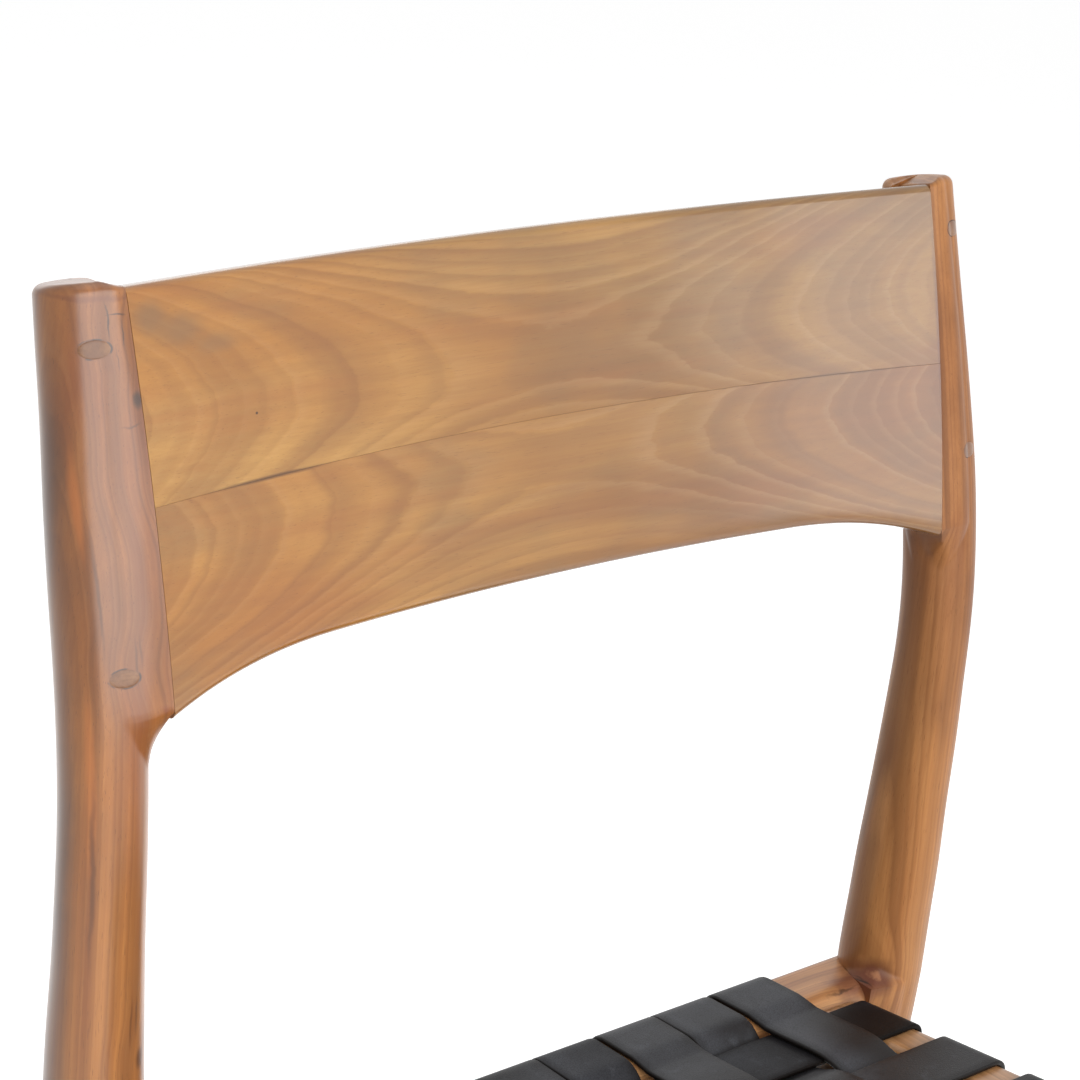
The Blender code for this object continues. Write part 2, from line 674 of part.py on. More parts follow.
def front_tenon_box(name, side, gap=0.0):
    """Make the tenon at the end of the front seat rail, or the tool for its mortise."""
    middle_z = FRONT_SEAT_HEIGHT - SEAT_RAIL_HEIGHT / 2
    half_y = SEAT_TENON_THICKNESS / 2 + gap
    half_z = SEAT_TENON_HEIGHT / 2 + gap
    ends = (side * (FRONT_LEG_HALF_SPACING - FRONT_LEG_RADIUS * 2),
            side * (FRONT_LEG_HALF_SPACING - FRONT_TENON_STOP + gap))
    mesh = plain_box_mesh(name, (min(ends), FRONT_LEG_Y - half_y, middle_z - half_z),
                          (max(ends), FRONT_LEG_Y + half_y, middle_z + half_z))
    return new_object(name, mesh, cutter=True)


def side_block_mesh(name, side, outer, inner, rear_y, front_y, above, below):
    """Make a block that follows a side rail: its splay, its slope and its height."""
    def corner(across, along, up):
        y = rear_y if along > 0 else front_y
        x = side_face(y) - (outer if across > 0 else inner)
        z = seat_top(y) - (above if up > 0 else below)
        return Vector((side * x, y, z))
    return box_corners_mesh(name, corner)


def side_tenon(name, side, end, gap=0.0):
    """Make a tenon of a side rail at its "rear" or "front" end, or its mortise tool."""
    shoulder = (SEAT_RAIL_HEIGHT - SEAT_TENON_HEIGHT) / 2
    outer = (SIDE_RAIL_THICKNESS - SEAT_TENON_THICKNESS) / 2
    if end == "rear":
        rear_y = REAR_RAIL_FRONT_Y + SIDE_TENON_DEPTH + gap
        front_y = REAR_RAIL_FRONT_Y - SIDE_TENON_DEPTH
    else:
        rear_y = FRONT_LEG_Y + FRONT_LEG_RADIUS * 2
        front_y = FRONT_LEG_Y + SIDE_TENON_STOP - gap
    mesh = side_block_mesh(name, side, outer - gap, outer + SEAT_TENON_THICKNESS + gap,
                           rear_y, front_y, shoulder - gap, shoulder + SEAT_TENON_HEIGHT + gap)
    return new_object(name, mesh, cutter=True)


def build_rear_rail(material):
    """Make the rear seat rail, coped to the round posts, with its tenons and mortises."""
    name = "rear_seat_rail"
    mesh = cross_rail_mesh(
        name, (-POST_HALF_SPACING, REAR_RAIL_FRONT_Y, REAR_SEAT_HEIGHT - SEAT_RAIL_HEIGHT),
        (POST_HALF_SPACING, REAR_RAIL_BACK_Y, REAR_SEAT_HEIGHT), -1)
    rail = new_object(name, mesh, material)
    for side_name, side in SIDES:
        cope = post_blank_mesh(f"rear_cope_{side_name}", side, CLEARANCE)
        cut(rail, new_object(f"rear_cope_{side_name}", cope, cutter=True))
        cut(rail, rear_tenon_box(f"rear_rail_tenon_{side_name}", side), "UNION")
        cut(rail, side_tenon(f"side_rail_rear_mortise_{side_name}", side, "rear", CLEARANCE))


def front_leg_rings(side, grow=0.0):
    """Return the outlines of a front leg from its foot to its rounded top."""
    def circle(height, radius):
        return [Vector((side * FRONT_LEG_HALF_SPACING + radius * math.cos(turn),
                        FRONT_LEG_Y + radius * math.sin(turn), height))
                for turn in [2 * math.pi * index / POST_SIDES for index in range(POST_SIDES)]]

    swell = mix(LEG_BOTTOM, FRONT_LEG_TOP, FRONT_LEG_SWELL_SHARE)
    rings = [circle(LEG_BOTTOM - grow, FRONT_FOOT_RADIUS + grow)]
    for index in range(1, LEG_RINGS):
        share = index / (LEG_RINGS - 1)
        radius = mix(FRONT_FOOT_RADIUS, FRONT_LEG_RADIUS, math.sin(share * math.pi / 2))
        rings.append(circle(mix(LEG_BOTTOM, swell, share), radius + grow))
    top = FRONT_LEG_TOP - FRONT_LEG_TOP_ROUND
    for step in range(ROUND_STEPS + 1):
        turn = math.pi / 2 * step / ROUND_STEPS
        inset = FRONT_LEG_TOP_ROUND * (1 - math.cos(turn))
        rings.append(circle(top + FRONT_LEG_TOP_ROUND * math.sin(turn) + grow,
                            FRONT_LEG_RADIUS - inset + grow))
    return rings


def build_front_rail(material):
    """Make the front seat rail, coped to the round front legs, with its tenons."""
    name = "front_seat_rail"
    mesh = cross_rail_mesh(
        name, (-FRONT_LEG_HALF_SPACING, FRONT_RAIL_FRONT_Y, FRONT_SEAT_HEIGHT - SEAT_RAIL_HEIGHT),
        (FRONT_LEG_HALF_SPACING, FRONT_RAIL_BACK_Y, FRONT_SEAT_HEIGHT), 1)
    rail = new_object(name, mesh, material)
    for side_name, side in SIDES:
        cope = loft_mesh(f"front_cope_{side_name}", front_leg_rings(side, CLEARANCE))
        cut(rail, new_object(f"front_cope_{side_name}", cope, cutter=True))
        cut(rail, front_tenon_box(f"front_rail_tenon_{side_name}", side), "UNION")


def build_side_rails(material):
    """Make the two side seat rails, which splay and climb towards the front."""
    for side_name, side in SIDES:
        name = f"side_seat_rail_{side_name}"
        mesh = side_block_mesh(name, side, 0.0, SIDE_RAIL_THICKNESS,
                               REAR_RAIL_FRONT_Y - CLEARANCE, FRONT_RAIL_BACK_Y + CLEARANCE,
                               0.0, SEAT_RAIL_HEIGHT)
        rail = new_object(name, mesh, material)
        round_edges(rail, SEAT_RAIL_ROUND)
        cope = bpy.data.objects[f"front_cope_{side_name}"]
        cut(rail, cope)
        for end in ("rear", "front"):
            tool = side_tenon(f"side_rail_{end}_tenon_{side_name}", side, end)
            cut(rail, tool, "UNION")


def build_rear_legs(material, holes):
    """Make the two rear legs that run up as the back posts, with every joint cut."""
    for side_name, side in SIDES:
        name = f"rear_leg_{side_name}"
        leg = new_object(name, post_blank_mesh(name, side), material)
        cut(leg, rail_housing(side_name))
        for board, low, high in rail_tenon_spans():
            cut(leg, rail_tenon(board, side_name, side, low, high, CLEARANCE))
            cut(leg, holes[board, side_name])
        cut(leg, rear_tenon_box(f"rear_rail_mortise_{side_name}", side, CLEARANCE))
        cut(leg, stem_hole(f"rear_{side_name}"))


def build_front_legs(material):
    """Make the two tapered front legs with the mortises of both rails."""
    for side_name, side in SIDES:
        name = f"front_leg_{side_name}"
        leg = new_object(name, loft_mesh(name, front_leg_rings(side)), material)
        cut(leg, front_tenon_box(f"front_rail_mortise_{side_name}", side, CLEARANCE))
        cut(leg, side_tenon(f"side_rail_front_mortise_{side_name}", side, "front", CLEARANCE))
        cut(leg, stem_hole(f"front_{side_name}"))


def foot_places():
    """Return the name, centre and foot radius of each leg's foot."""
    places = {}
    for side_name, side in SIDES:
        across, along = post_centre(LEG_BOTTOM - REAR_SEAT_HEIGHT)
        places[f"rear_{side_name}"] = (side * across, along, REAR_FOOT_RADIUS)
        places[f"front_{side_name}"] = (side * FRONT_LEG_HALF_SPACING, FRONT_LEG_Y,
                                        FRONT_FOOT_RADIUS)
    return places


def cylinder_mesh(name, radius, length, sides):
    """Make a cylinder that stands on its origin."""
    work = bmesh.new()
    bmesh.ops.create_cone(work, cap_ends=True, segments=sides, radius1=radius, radius2=radius,
                          depth=length)
    bmesh.ops.translate(work, verts=work.verts, vec=(0, 0, length / 2))
    return mesh_from(name, work)


def stem_hole(foot):
    """Make the tool for the hole that takes a glide's stem."""
    across, along, _ = foot_places()[foot]
    name = f"glide_hole_{foot}"
    length = GLIDE_STEM_LENGTH + GLIDE_HEIGHT + CLEARANCE
    mesh = cylinder_mesh(name, GLIDE_STEM_RADIUS + CLEARANCE, length, SCREW_SIDES)
    tool = new_object(name, mesh, cutter=True)
    tool.location = (across, along, 0.0)
    return tool


def turned_object(name, profile, sides, material):
    """Turn a profile that starts and ends on the axis and runs down its outer side."""
    work = bmesh.new()
    verts = [work.verts.new((radius, 0.0, height)) for radius, height in profile]
    for first, last in zip(verts, verts[1:]):
        work.edges.new((first, last))
    mesh = bpy.data.meshes.new(name)
    work.to_mesh(mesh)
    work.free()
    item = new_object(name, mesh, material)
    step = item.modifiers.new("turned", "SCREW")
    step.steps = sides
    step.render_steps = sides
    step.use_merge_vertices = True
    step.merge_threshold = CLEARANCE / 10
    step.use_smooth_shade = True
    return item


def build_glides(material):
    """Make the glide under each foot, with the stem that holds it in the leg."""
    for foot, (across, along, foot_radius) in foot_places().items():
        radius = foot_radius - GLIDE_INSET
        profile = (
            (0.0, GLIDE_HEIGHT + GLIDE_STEM_LENGTH),
            (GLIDE_STEM_RADIUS, GLIDE_HEIGHT + GLIDE_STEM_LENGTH),
            (GLIDE_STEM_RADIUS, GLIDE_HEIGHT),
            (radius, GLIDE_HEIGHT),
            (radius, GLIDE_HEIGHT / 4),
            (radius - GLIDE_HEIGHT / 4, 0.0),
            (0.0, 0.0),
        )
        glide = turned_object(f"foot_glide_{foot}", profile, GLIDE_SIDES, material)
        glide.location = (across, along, 0.0)


def block_corner(end, side):
    """Return the inner corner of the seat frame where a block sits, and its height."""
    if end == "rear":
        y = REAR_RAIL_FRONT_Y - CLEARANCE
    else:
        y = FRONT_RAIL_BACK_Y + CLEARANCE
    x = side_face(y) - SIDE_RAIL_THICKNESS - CLEARANCE
    return x, y, seat_top(y) - BLOCK_DROP


def block_outline(end):
    """Return the plan of a corner block, on the +X side, as points around it."""
    x, y, _ = block_corner(end, 1)
    inward = -1 if end == "rear" else 1
    far_y = y + inward * BLOCK_LEG
    tip_y = y + inward * BLOCK_TIP
    lean = SIDE_SPLAY
    return (
        (x, y),
        (x - lean * (far_y - y), far_y),
        (x - lean * (far_y - y) - BLOCK_TIP, far_y),
        (x - BLOCK_LEG, tip_y),
        (x - BLOCK_LEG, y),
    )


def screw_frame(end, target, side):
    """Return the frame of a block screw, whose +Z points out of the rail it bites.

    target is "cross" for the rear or front rail and "side" for the side rail.
    """
    x, y, top = block_corner(end, side)
    inward = -1 if end == "rear" else 1
    height = top - BLOCK_THICKNESS / 2
    if target == "cross":
        out = Vector((0.0, inward, 0.0))
        seat = Vector((side * (x - SCREW_OFFSET), y, height))
    else:
        out = Vector((-side, 0.0, 0.0))
        place = y + inward * SCREW_OFFSET
        seat = Vector((side * (x - SIDE_SPLAY * (place - y)), place, height))
    turn = out.to_track_quat("Z", "Y").to_matrix().to_4x4()
    turn.translation = seat
    return turn


def screw_tool(name, radius, low, high, frame):
    """Make a cylinder along a screw's axis, as a tool for its hole."""
    mesh = cylinder_mesh(name, radius, high - low, SCREW_SIDES)
    tool = new_object(name, mesh, cutter=True)
    tool.matrix_world = frame @ Matrix.Translation((0.0, 0.0, low))
    return tool


def build_corner_blocks(block_finish, screw_finish):
    """Make the four corner blocks and the two screws that hold each to its rails."""
    for end in ("rear", "front"):
        for side_name, side in SIDES:
            _, _, top = block_corner(end, side)
            low = top - BLOCK_THICKNESS
            name = f"corner_block_{end}_{side_name}"
            rings = [[Vector((side * x, y, height)) for x, y in block_outline(end)]
                     for height in (low, top)]
            block = new_object(name, loft_mesh(name, rings), block_finish)
            for target in ("cross", "side"):
                frame = screw_frame(end, target, side)
                label = f"{end}_{side_name}_{target}"
                shank = screw_tool(f"block_screw_hole_{label}", SCREW_RADIUS + CLEARANCE,
                                   -SCREW_BITE - CLEARANCE, BLOCK_LEG, frame)
                bore = screw_tool(f"block_screw_bore_{label}", SCREW_HEAD_RADIUS + CLEARANCE,
                                  SCREW_BLOCK_DEPTH - CLEARANCE, BLOCK_LEG, frame)
                cut(block, shank)
                cut(block, bore)
                rail = f"{end}_seat_rail" if target == "cross" else f"side_seat_rail_{side_name}"
                cut(bpy.data.objects[rail], shank)
                build_screw(f"block_screw_{label}", frame, screw_finish)


def build_screw(name, frame, material):
    """Make one screw with a domed head and a pointed end."""
    head = SCREW_BLOCK_DEPTH
    profile = (
        (0.0, head + SCREW_HEAD_LENGTH),
        (SCREW_HEAD_RADIUS / 2, head + SCREW_HEAD_LENGTH),
        (SCREW_HEAD_RADIUS, head + SCREW_HEAD_LENGTH / 2),
        (SCREW_HEAD_RADIUS, head),
        (SCREW_RADIUS, head),
        (SCREW_RADIUS, SCREW_RADIUS * 2 - SCREW_BITE),
        (0.0, -SCREW_BITE),
    )
    screw = turned_object(name, profile, SCREW_SIDES, material)
    screw.matrix_world = frame


def bend(centre, radius, start, end):
    """Return points of an arc, as places across a rail and heights, by its two angles."""
    points = []
    for step in range(BEND_STEPS + 1):
        turn = math.radians(mix(start, end, step / BEND_STEPS))
        points.append((centre[0] + radius * math.cos(turn), centre[1] + radius * math.sin(turn)))
    return points


def wrap(outer, inner, top):
    """Return a strap's run round a rail, from its tail under the rail to the rail's top.

    The run is given as places across the rail, with outwards as positive, and heights.
    """
    bottom = top - SEAT_RAIL_HEIGHT
    radius = SEAT_RAIL_ROUND + STRAP_OFFSET
    edge = outer - SEAT_RAIL_ROUND
    points = [(inner + STRAP_TAIL_STOP, bottom - STRAP_OFFSET)]
    points += bend((edge, bottom + SEAT_RAIL_ROUND), radius, -90, 0)
    points += bend((edge, top - SEAT_RAIL_ROUND), radius, 0, 90)
    return points


def crosswise_middle(number):
    """Return the place along the seat of a crosswise strap's middle, from the rear."""
    return CROSSWISE_FIRST_Y - number * CROSSWISE_PITCH


def weave_run(number):
    """Return the places and heights of a lengthwise strap between the two rails.

    It goes over one crosswise strap and under the next. The crosswise ones lie flat.
    """
    points = []
    for cross in range(CROSSWISE_COUNT):
        middle = crosswise_middle(cross)
        over = (number + cross) % 2 == 0
        lift = WEAVE_LIFT if over else -WEAVE_LIFT
        for reach in (CROSSWISE_WIDTH / 2 + WEAVE_EASE, -CROSSWISE_WIDTH / 2 - WEAVE_EASE):
            place = middle + reach
            points.append((place, seat_top(place) + STRAP_OFFSET + lift))
    return points


def strap_object(name, first_edge, last_edge, material):
    """Make a strap from its two edges: an open band made solid to the strap's thickness."""
    work = bmesh.new()
    rows = [(work.verts.new(first), work.verts.new(last))
            for first, last in zip(first_edge, last_edge)]
    for low, high in zip(rows, rows[1:]):
        work.faces.new((low[0], high[0], high[1], low[1]))
    mesh = mesh_from(name, work)
    item = new_object(name, mesh, material)
    step = item.modifiers.new("leather_thickness", "SOLIDIFY")
    step.thickness = STRAP_THICKNESS
    step.offset = 0.0
    step.use_even_offset = True
    return item


def dip(edge_y, inward, top, under):
    """Return a lengthwise strap's points where it leaves a cross rail for the seat.

    edge_y is the rail's inner face and inward the sign of the way to the seat. A strap that
    goes under the first crosswise one follows the rounded edge further.
    """
    middle_y = edge_y - inward * CROSS_RAIL_INNER_ROUND
    radius = CROSS_RAIL_INNER_ROUND + STRAP_OFFSET
    whole_turn = UNDER_DIP_TURN if under else OVER_DIP_TURN
    points = []
    for step in range(DIP_STEPS + 1):
        turn = whole_turn * step / DIP_STEPS
        points.append((middle_y + inward * radius * math.sin(turn),
                       top - CROSS_RAIL_INNER_ROUND + radius * math.cos(turn)))
    return points


def build_lengthwise_straps(material):
    """Make the straps that run from front to back and wrap round both cross rails."""
    rear_wrap = [(y, z) for y, z in wrap(REAR_RAIL_BACK_Y, REAR_RAIL_FRONT_Y, REAR_SEAT_HEIGHT)]
    front_wrap = [(-y, z) for y, z in wrap(-FRONT_RAIL_FRONT_Y, -FRONT_RAIL_BACK_Y,
                                           FRONT_SEAT_HEIGHT)]
    for number in range(LENGTHWISE_COUNT):
        from_middle = number - (LENGTHWISE_COUNT - 1) / 2
        rear_under = number % 2 == 1
        front_under = (number + CROSSWISE_COUNT - 1) % 2 == 1
        run = rear_wrap + dip(REAR_RAIL_FRONT_Y, -1, REAR_SEAT_HEIGHT, rear_under)
        run += weave_run(number)
        run += dip(FRONT_RAIL_BACK_Y, 1, FRONT_SEAT_HEIGHT, front_under)[::-1]
        run += front_wrap[::-1]
        edges = []
        for half in (-LENGTHWISE_WIDTH / 2, LENGTHWISE_WIDTH / 2):
            edge = []
            for y, z in run:
                share = share_between(y, REAR_RAIL_BACK_Y, FRONT_RAIL_FRONT_Y)
                pitch = mix(LENGTHWISE_REAR_PITCH, LENGTHWISE_FRONT_PITCH, share)
                edge.append(Vector((from_middle * pitch + half, y, z)))
            edges.append(edge)
        strap_object(f"lengthwise_strap_{number + 1}", edges[0], edges[1], material)


def build_crosswise_straps(material):
    """Make the straps that run from side to side and wrap round both side rails."""
    for number in range(CROSSWISE_COUNT):
        middle = crosswise_middle(number)
        edges = []
        for y in (middle - CROSSWISE_WIDTH / 2, middle + CROSSWISE_WIDTH / 2):
            outer = side_face(y)
            run = wrap(outer, outer - SIDE_RAIL_THICKNESS, seat_top(y))
            right = [Vector((x, y, z)) for x, z in run]
            left = [Vector((-x, y, z)) for x, z in run]
            edges.append(left + right[::-1])
        strap_object(f"crosswise_strap_{number + 1}", edges[0], edges[1], material)


def build_chair():
    """Build every piece of the chair."""
    clear_scene()
    teak = teak_material()
    leather = leather_material()
    holes = build_pegs(peg_material())
    build_rear_legs(teak, holes)
    build_back_rail(teak, holes)
    build_front_legs(teak)
    build_rear_rail(teak)
    build_front_rail(teak)
    build_side_rails(teak)
    build_corner_blocks(block_material(), screw_material())
    build_glides(glide_material())
    build_lengthwise_straps(leather)
    build_crosswise_straps(leather)


build_chair()
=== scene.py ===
"""Teak dining chair with a woven leather strap seat, made fine for pictures.

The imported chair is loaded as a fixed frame. The shaped wood, the straps and the fixings are
made again here with fine detail in the same places, and every piece gets its finish. Lengths
are in metres, +Z is up and the front of the chair is towards -Y. Heights named rise are
measured from the top of the rear seat rail.
"""

import json
import logging
import math
from dataclasses import dataclass, replace
from enum import Enum
from functools import cached_property
from typing import Callable, Sequence, Union

import bpy
from mathutils import Matrix, Vector, noise
from mathutils.bvhtree import BVHTree

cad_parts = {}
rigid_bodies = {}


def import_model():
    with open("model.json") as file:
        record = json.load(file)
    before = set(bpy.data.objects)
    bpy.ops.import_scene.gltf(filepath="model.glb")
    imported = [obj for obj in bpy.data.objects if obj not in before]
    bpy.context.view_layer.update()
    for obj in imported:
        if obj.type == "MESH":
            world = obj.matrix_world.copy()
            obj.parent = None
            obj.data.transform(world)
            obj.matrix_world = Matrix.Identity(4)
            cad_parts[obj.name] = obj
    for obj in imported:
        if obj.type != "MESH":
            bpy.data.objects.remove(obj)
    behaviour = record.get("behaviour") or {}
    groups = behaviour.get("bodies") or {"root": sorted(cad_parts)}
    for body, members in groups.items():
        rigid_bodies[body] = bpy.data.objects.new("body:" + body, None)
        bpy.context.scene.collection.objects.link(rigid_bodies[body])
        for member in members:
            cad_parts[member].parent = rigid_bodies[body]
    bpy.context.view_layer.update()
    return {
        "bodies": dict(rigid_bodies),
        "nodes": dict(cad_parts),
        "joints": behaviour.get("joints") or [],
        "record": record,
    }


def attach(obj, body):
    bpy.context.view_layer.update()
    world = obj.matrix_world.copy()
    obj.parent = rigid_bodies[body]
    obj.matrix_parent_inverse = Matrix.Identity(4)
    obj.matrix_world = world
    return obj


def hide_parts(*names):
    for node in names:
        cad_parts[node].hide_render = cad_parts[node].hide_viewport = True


log = logging.getLogger("teak_chair")

Pair = tuple[float, float]
Place = tuple[float, float, float]
Tone = tuple[float, float, float]
Run = list[Pair]
Ring = list[Vector]
Faces = list[list[int]]
Piece = bpy.types.Object
Socket = bpy.types.NodeSocket
Value = Union[float, Tone, Socket]

BODY = "root"
WHITE = (1.0, 1.0, 1.0, 1.0)
JOINT_GAP = 0.00006
SLOPE_STEP = 0.0003
SEED_SHIFT = (0.37, 0.53, 0.71)


class Side(Enum):
    """The two sides of the chair, with the sign of their x."""

    LEFT = -1
    RIGHT = 1

    @property
    def label(self) -> str:
        """The side's word in the names of pieces."""
        return self.name.lower()


class Grain(Enum):
    """The way that the fibres of a piece of wood run."""

    ACROSS = (1.0, 0.0, 0.0)
    LENGTHWISE = (0.0, 1.0, 0.0)
    UPRIGHT = (0.0, 0.0, 1.0)


def light(level: int) -> float:
    """Return a level of 0 to 255 as the share of full light that it stands for."""
    share = level / 255
    return share / 12.92 if share <= 0.04045 else ((share + 0.055) / 1.055) ** 2.4


def tone(red: int, green: int, blue: int) -> Tone:
    """Return a colour written in 0 to 255 as three shares of full light."""
    return light(red), light(green), light(blue)


def share_between(value: float, start: float, end: float) -> float:
    """Return how far a value has gone from start to end, held between 0 and 1."""
    return min(1.0, max(0.0, (value - start) / (end - start)))


def mix(first: float, last: float, share: float) -> float:
    """Return the value at a share of the way from first to last."""
    return first + (last - first) * share


def ease(share: float) -> float:
    """Smooth a share so that it starts and stops gently."""
    return share * share * (3 - 2 * share)


def steps(low: float, high: float, count: int) -> list[float]:
    """Return count values from low towards high, without high itself."""
    return [mix(low, high, index / count) for index in range(count)]


def spaced(low: float, high: float, count: int) -> list[float]:
    """Return the values that part low from high in count steps, with both ends."""
    return [mix(low, high, index / count) for index in range(count + 1)]


def on_circle(radius: float, turn: float, middle: Pair = (0.0, 0.0)) -> Pair:
    """Return the point of a circle at an angle in radians."""
    return middle[0] + radius * math.cos(turn), middle[1] + radius * math.sin(turn)


def arc(middle: Pair, radius: float, start: float, end: float, count: int) -> Run:
    """Return the points that part an arc in count steps, from its angles in degrees."""
    return [on_circle(radius, math.radians(turn), middle) for turn in spaced(start, end, count)]


def run_back(line: Callable[[float], Pair], rise: float) -> float:
    """Return how far a line runs back for each unit that it climbs."""
    return (line(rise + SLOPE_STEP)[1] - line(rise - SLOPE_STEP)[1]) / (2 * SLOPE_STEP)


class NodeGraph:
    """The nodes of one finish or of the world, written like sums."""

    def __init__(self, name: str, world: bool = False) -> None:
        """Start a material or a world with its shader.

        Args:
            name: Its name.
            world: Whether it is a world.
        """
        self.owner = (bpy.data.worlds if world else bpy.data.materials).new(name)
        self.owner.use_nodes = True
        self.tree = self.owner.node_tree
        self.shader = self.tree.nodes["Background" if world else "Principled BSDF"]

    def add(self, kind: str, **settings: object) -> bpy.types.Node:
        """Add a node.

        Args:
            kind: The node's type without its ShaderNode prefix.
            **settings: Its own settings.

        Returns:
            The node.
        """
        node = self.tree.nodes.new("ShaderNode" + kind)
        for key, value in settings.items():
            setattr(node, key, value)
        return node

    def feed(self, socket: Socket, value: Value) -> None:
        """Give a socket a link or a fixed value.

        Args:
            socket: The socket to feed.
            value: Another node's output, a number or a colour.
        """
        if isinstance(value, Socket):
            self.tree.links.new(value, socket)
        elif isinstance(value, tuple) and socket.type == "RGBA":
            socket.default_value = (*value, 1.0)
        else:
            socket.default_value = value

    @cached_property
    def here(self) -> Socket:
        """The place on the chair, in metres."""
        return self.add("TexCoord").outputs["Object"]

    def sum(self, operation: str, *values: Value) -> Socket:
        """Work out one step with numbers.

        Args:
            operation: The Math node's operation.
            *values: What it works on.

        Returns:
            The result.
        """
        node = self.add("Math", operation=operation)
        for socket, value in zip(node.inputs, values):
            self.feed(socket, value)
        return node.outputs[0]

    def arrow(self, operation: str, *values: Value) -> Socket:
        """Work out one step with places or directions.

        Args:
            operation: The Vector Math node's operation.
            *values: What it works on. A number is the scale of a SCALE step.

        Returns:
            The result, a number for lengths and dot products.
        """
        node = self.add("VectorMath", operation=operation)
        for index, value in enumerate(values):
            socket = node.inputs["Scale"] if operation == "SCALE" and index else node.inputs[index]
            self.feed(socket, value)
        single = operation in ("LENGTH", "DOT_PRODUCT", "DISTANCE")
        return node.outputs["Value" if single else "Vector"]

    def noise(self, place: Value, scale: float, detail: float = 2.0,
              colour: bool = False) -> Socket:
        """Return soft noise around 0.5.

        Args:
            place: Where it is read.
            scale: How many swings it has in a metre.
            detail: How many finer layers it has.
            colour: Whether three separate noises are wanted.

        Returns:
            The noise.
        """
        node = self.add("TexNoise")
        self.feed(node.inputs["Vector"], place)
        node.inputs["Scale"].default_value = scale
        node.inputs["Detail"].default_value = detail
        return node.outputs["Color" if colour else "Fac"]

    def soft_step(self, value: Value, low: float, high: float,
                  bottom: float = 0.0, top: float = 1.0) -> Socket:
        """Ease from bottom to top while a value goes from low to high.

        Args:
            value: The value.
            low: Where the step starts.
            high: Where the step ends.
            bottom: The result before the step.
            top: The result after the step.

        Returns:
            The eased value.
        """
        node = self.add("MapRange", interpolation_type="SMOOTHSTEP")
        for socket, number in zip(node.inputs, (value, low, high, bottom, top)):
            self.feed(socket, number)
        return node.outputs["Result"]

    def blend(self, share: Value, first: Value, last: Value,
              kind: str = "MIX") -> Socket:
        """Blend two colours.

        Args:
            share: How much of the last one shows.
            first: The colour at 0.
            last: The colour at 1.
            kind: The way of blending.

        Returns:
            The blended colour.
        """
        node = self.add("Mix", data_type="RGBA", blend_type=kind)
        self.feed(node.inputs[0], share)
        self.feed(node.inputs[6], first)
        self.feed(node.inputs[7], last)
        return node.outputs[2]

    def wash(self, colour: Value, over: Value, value: Value, low: float, high: float,
             bottom: float = 0.0, top: float = 1.0) -> Socket:
        """Lay a colour over another, from bottom to top while a value goes from low to high."""
        return self.blend(self.soft_step(value, low, high, bottom, top), colour, over)

    def product(self, first: Value, second: Value, third: Value) -> Socket:
        """Multiply three numbers."""
        return self.sum("MULTIPLY", self.sum("MULTIPLY", first, second), third)

    def stray(self, place: Value, swing: Value, reach: float) -> Socket:
        """Move a place by a coloured noise, up to a reach either way."""
        middle = self.arrow("SUBTRACT", swing, (0.5, 0.5, 0.5))
        return self.arrow("ADD", place, self.arrow("SCALE", middle, 2 * reach))

    def chance(self, number: Value) -> Socket:
        """Draw a share that is fixed for each number.

        Args:
            number: The number.

        Returns:
            The share.
        """
        node = self.add("TexWhiteNoise", noise_dimensions="1D")
        self.feed(node.inputs["W"], number)
        return node.outputs["Value"]

    def attribute(self, name: str) -> Socket:
        """Return a number that the mesh keeps at each of its points."""
        return self.add("Attribute", attribute_name=name).outputs["Fac"]

    def bump(self, height: Value, distance: float, strength: float = 1.0) -> None:
        """Shape the surface finely.

        Args:
            height: The relief, from 0 to 1.
            distance: How deep a height of 1 is.
            strength: How much of it is felt.
        """
        node = self.add("Bump")
        node.inputs["Strength"].default_value = strength
        node.inputs["Distance"].default_value = distance
        self.feed(node.inputs["Height"], height)
        self.feed(self.shader.inputs["Normal"], node.outputs["Normal"])

    def dress(self, colour: Value, rough: Value, fixed: dict[str, float]) -> None:
        """Feed the shader.

        Args:
            colour: The colour of the surface.
            rough: Its roughness.
            fixed: What is the same all over, by the name of the shader's socket.
        """
        self.feed(self.shader.inputs["Base Color"], colour)
        self.feed(self.shader.inputs["Roughness"], rough)
        for name, value in fixed.items():
            self.shader.inputs[name].default_value = value


@dataclass(frozen=True)
class Mark:
    """A stain, vein, crack or hole in the wood, as a ragged egg-shaped cloud.

    Attributes:
        centre: Its middle on the chair.
        reach: Its half size along the three axes.
        colour: The colour that it turns the wood to.
        strength: How much of that colour shows at its middle.
        ragged: How far its edge wanders.
        swings: How many times the edge wanders in a metre.
        core: The share of its reach that has the full strength.
        kind: The way that its colour meets the wood's.
    """

    centre: Place
    reach: Place
    colour: Tone
    strength: float = 0.6
    ragged: float = 0.0
    swings: float = 40.0
    core: float = 0.2
    kind: str = "MIX"

    def lay(self, graph: NodeGraph, colour: Value) -> Socket:
        """Put the mark over a colour.

        Args:
            graph: The finish's nodes.
            colour: The wood's colour so far.

        Returns:
            The colour with the mark.
        """
        spot = graph.here
        if self.ragged:
            moved = graph.arrow("ADD", graph.here, self.centre)
            wander = graph.noise(moved, self.swings, 3.0, True)
            spot = graph.stray(graph.here, wander, self.ragged)
        spot = graph.arrow("SUBTRACT", spot, self.centre)
        spot = graph.arrow("DIVIDE", spot, self.reach)
        inside = graph.soft_step(graph.arrow("LENGTH", spot), self.core, 1.0, self.strength, 0.0)
        return graph.blend(inside, colour, self.colour, self.kind)


@dataclass(frozen=True)
class Knot:
    """A place where the growth rings bulge round a knot.

    Attributes:
        centre: The knot's middle on the chair.
        reach: How far the rings are bent around it.
        push: How far the rings move at its middle.
    """

    centre: Place
    reach: float
    push: float


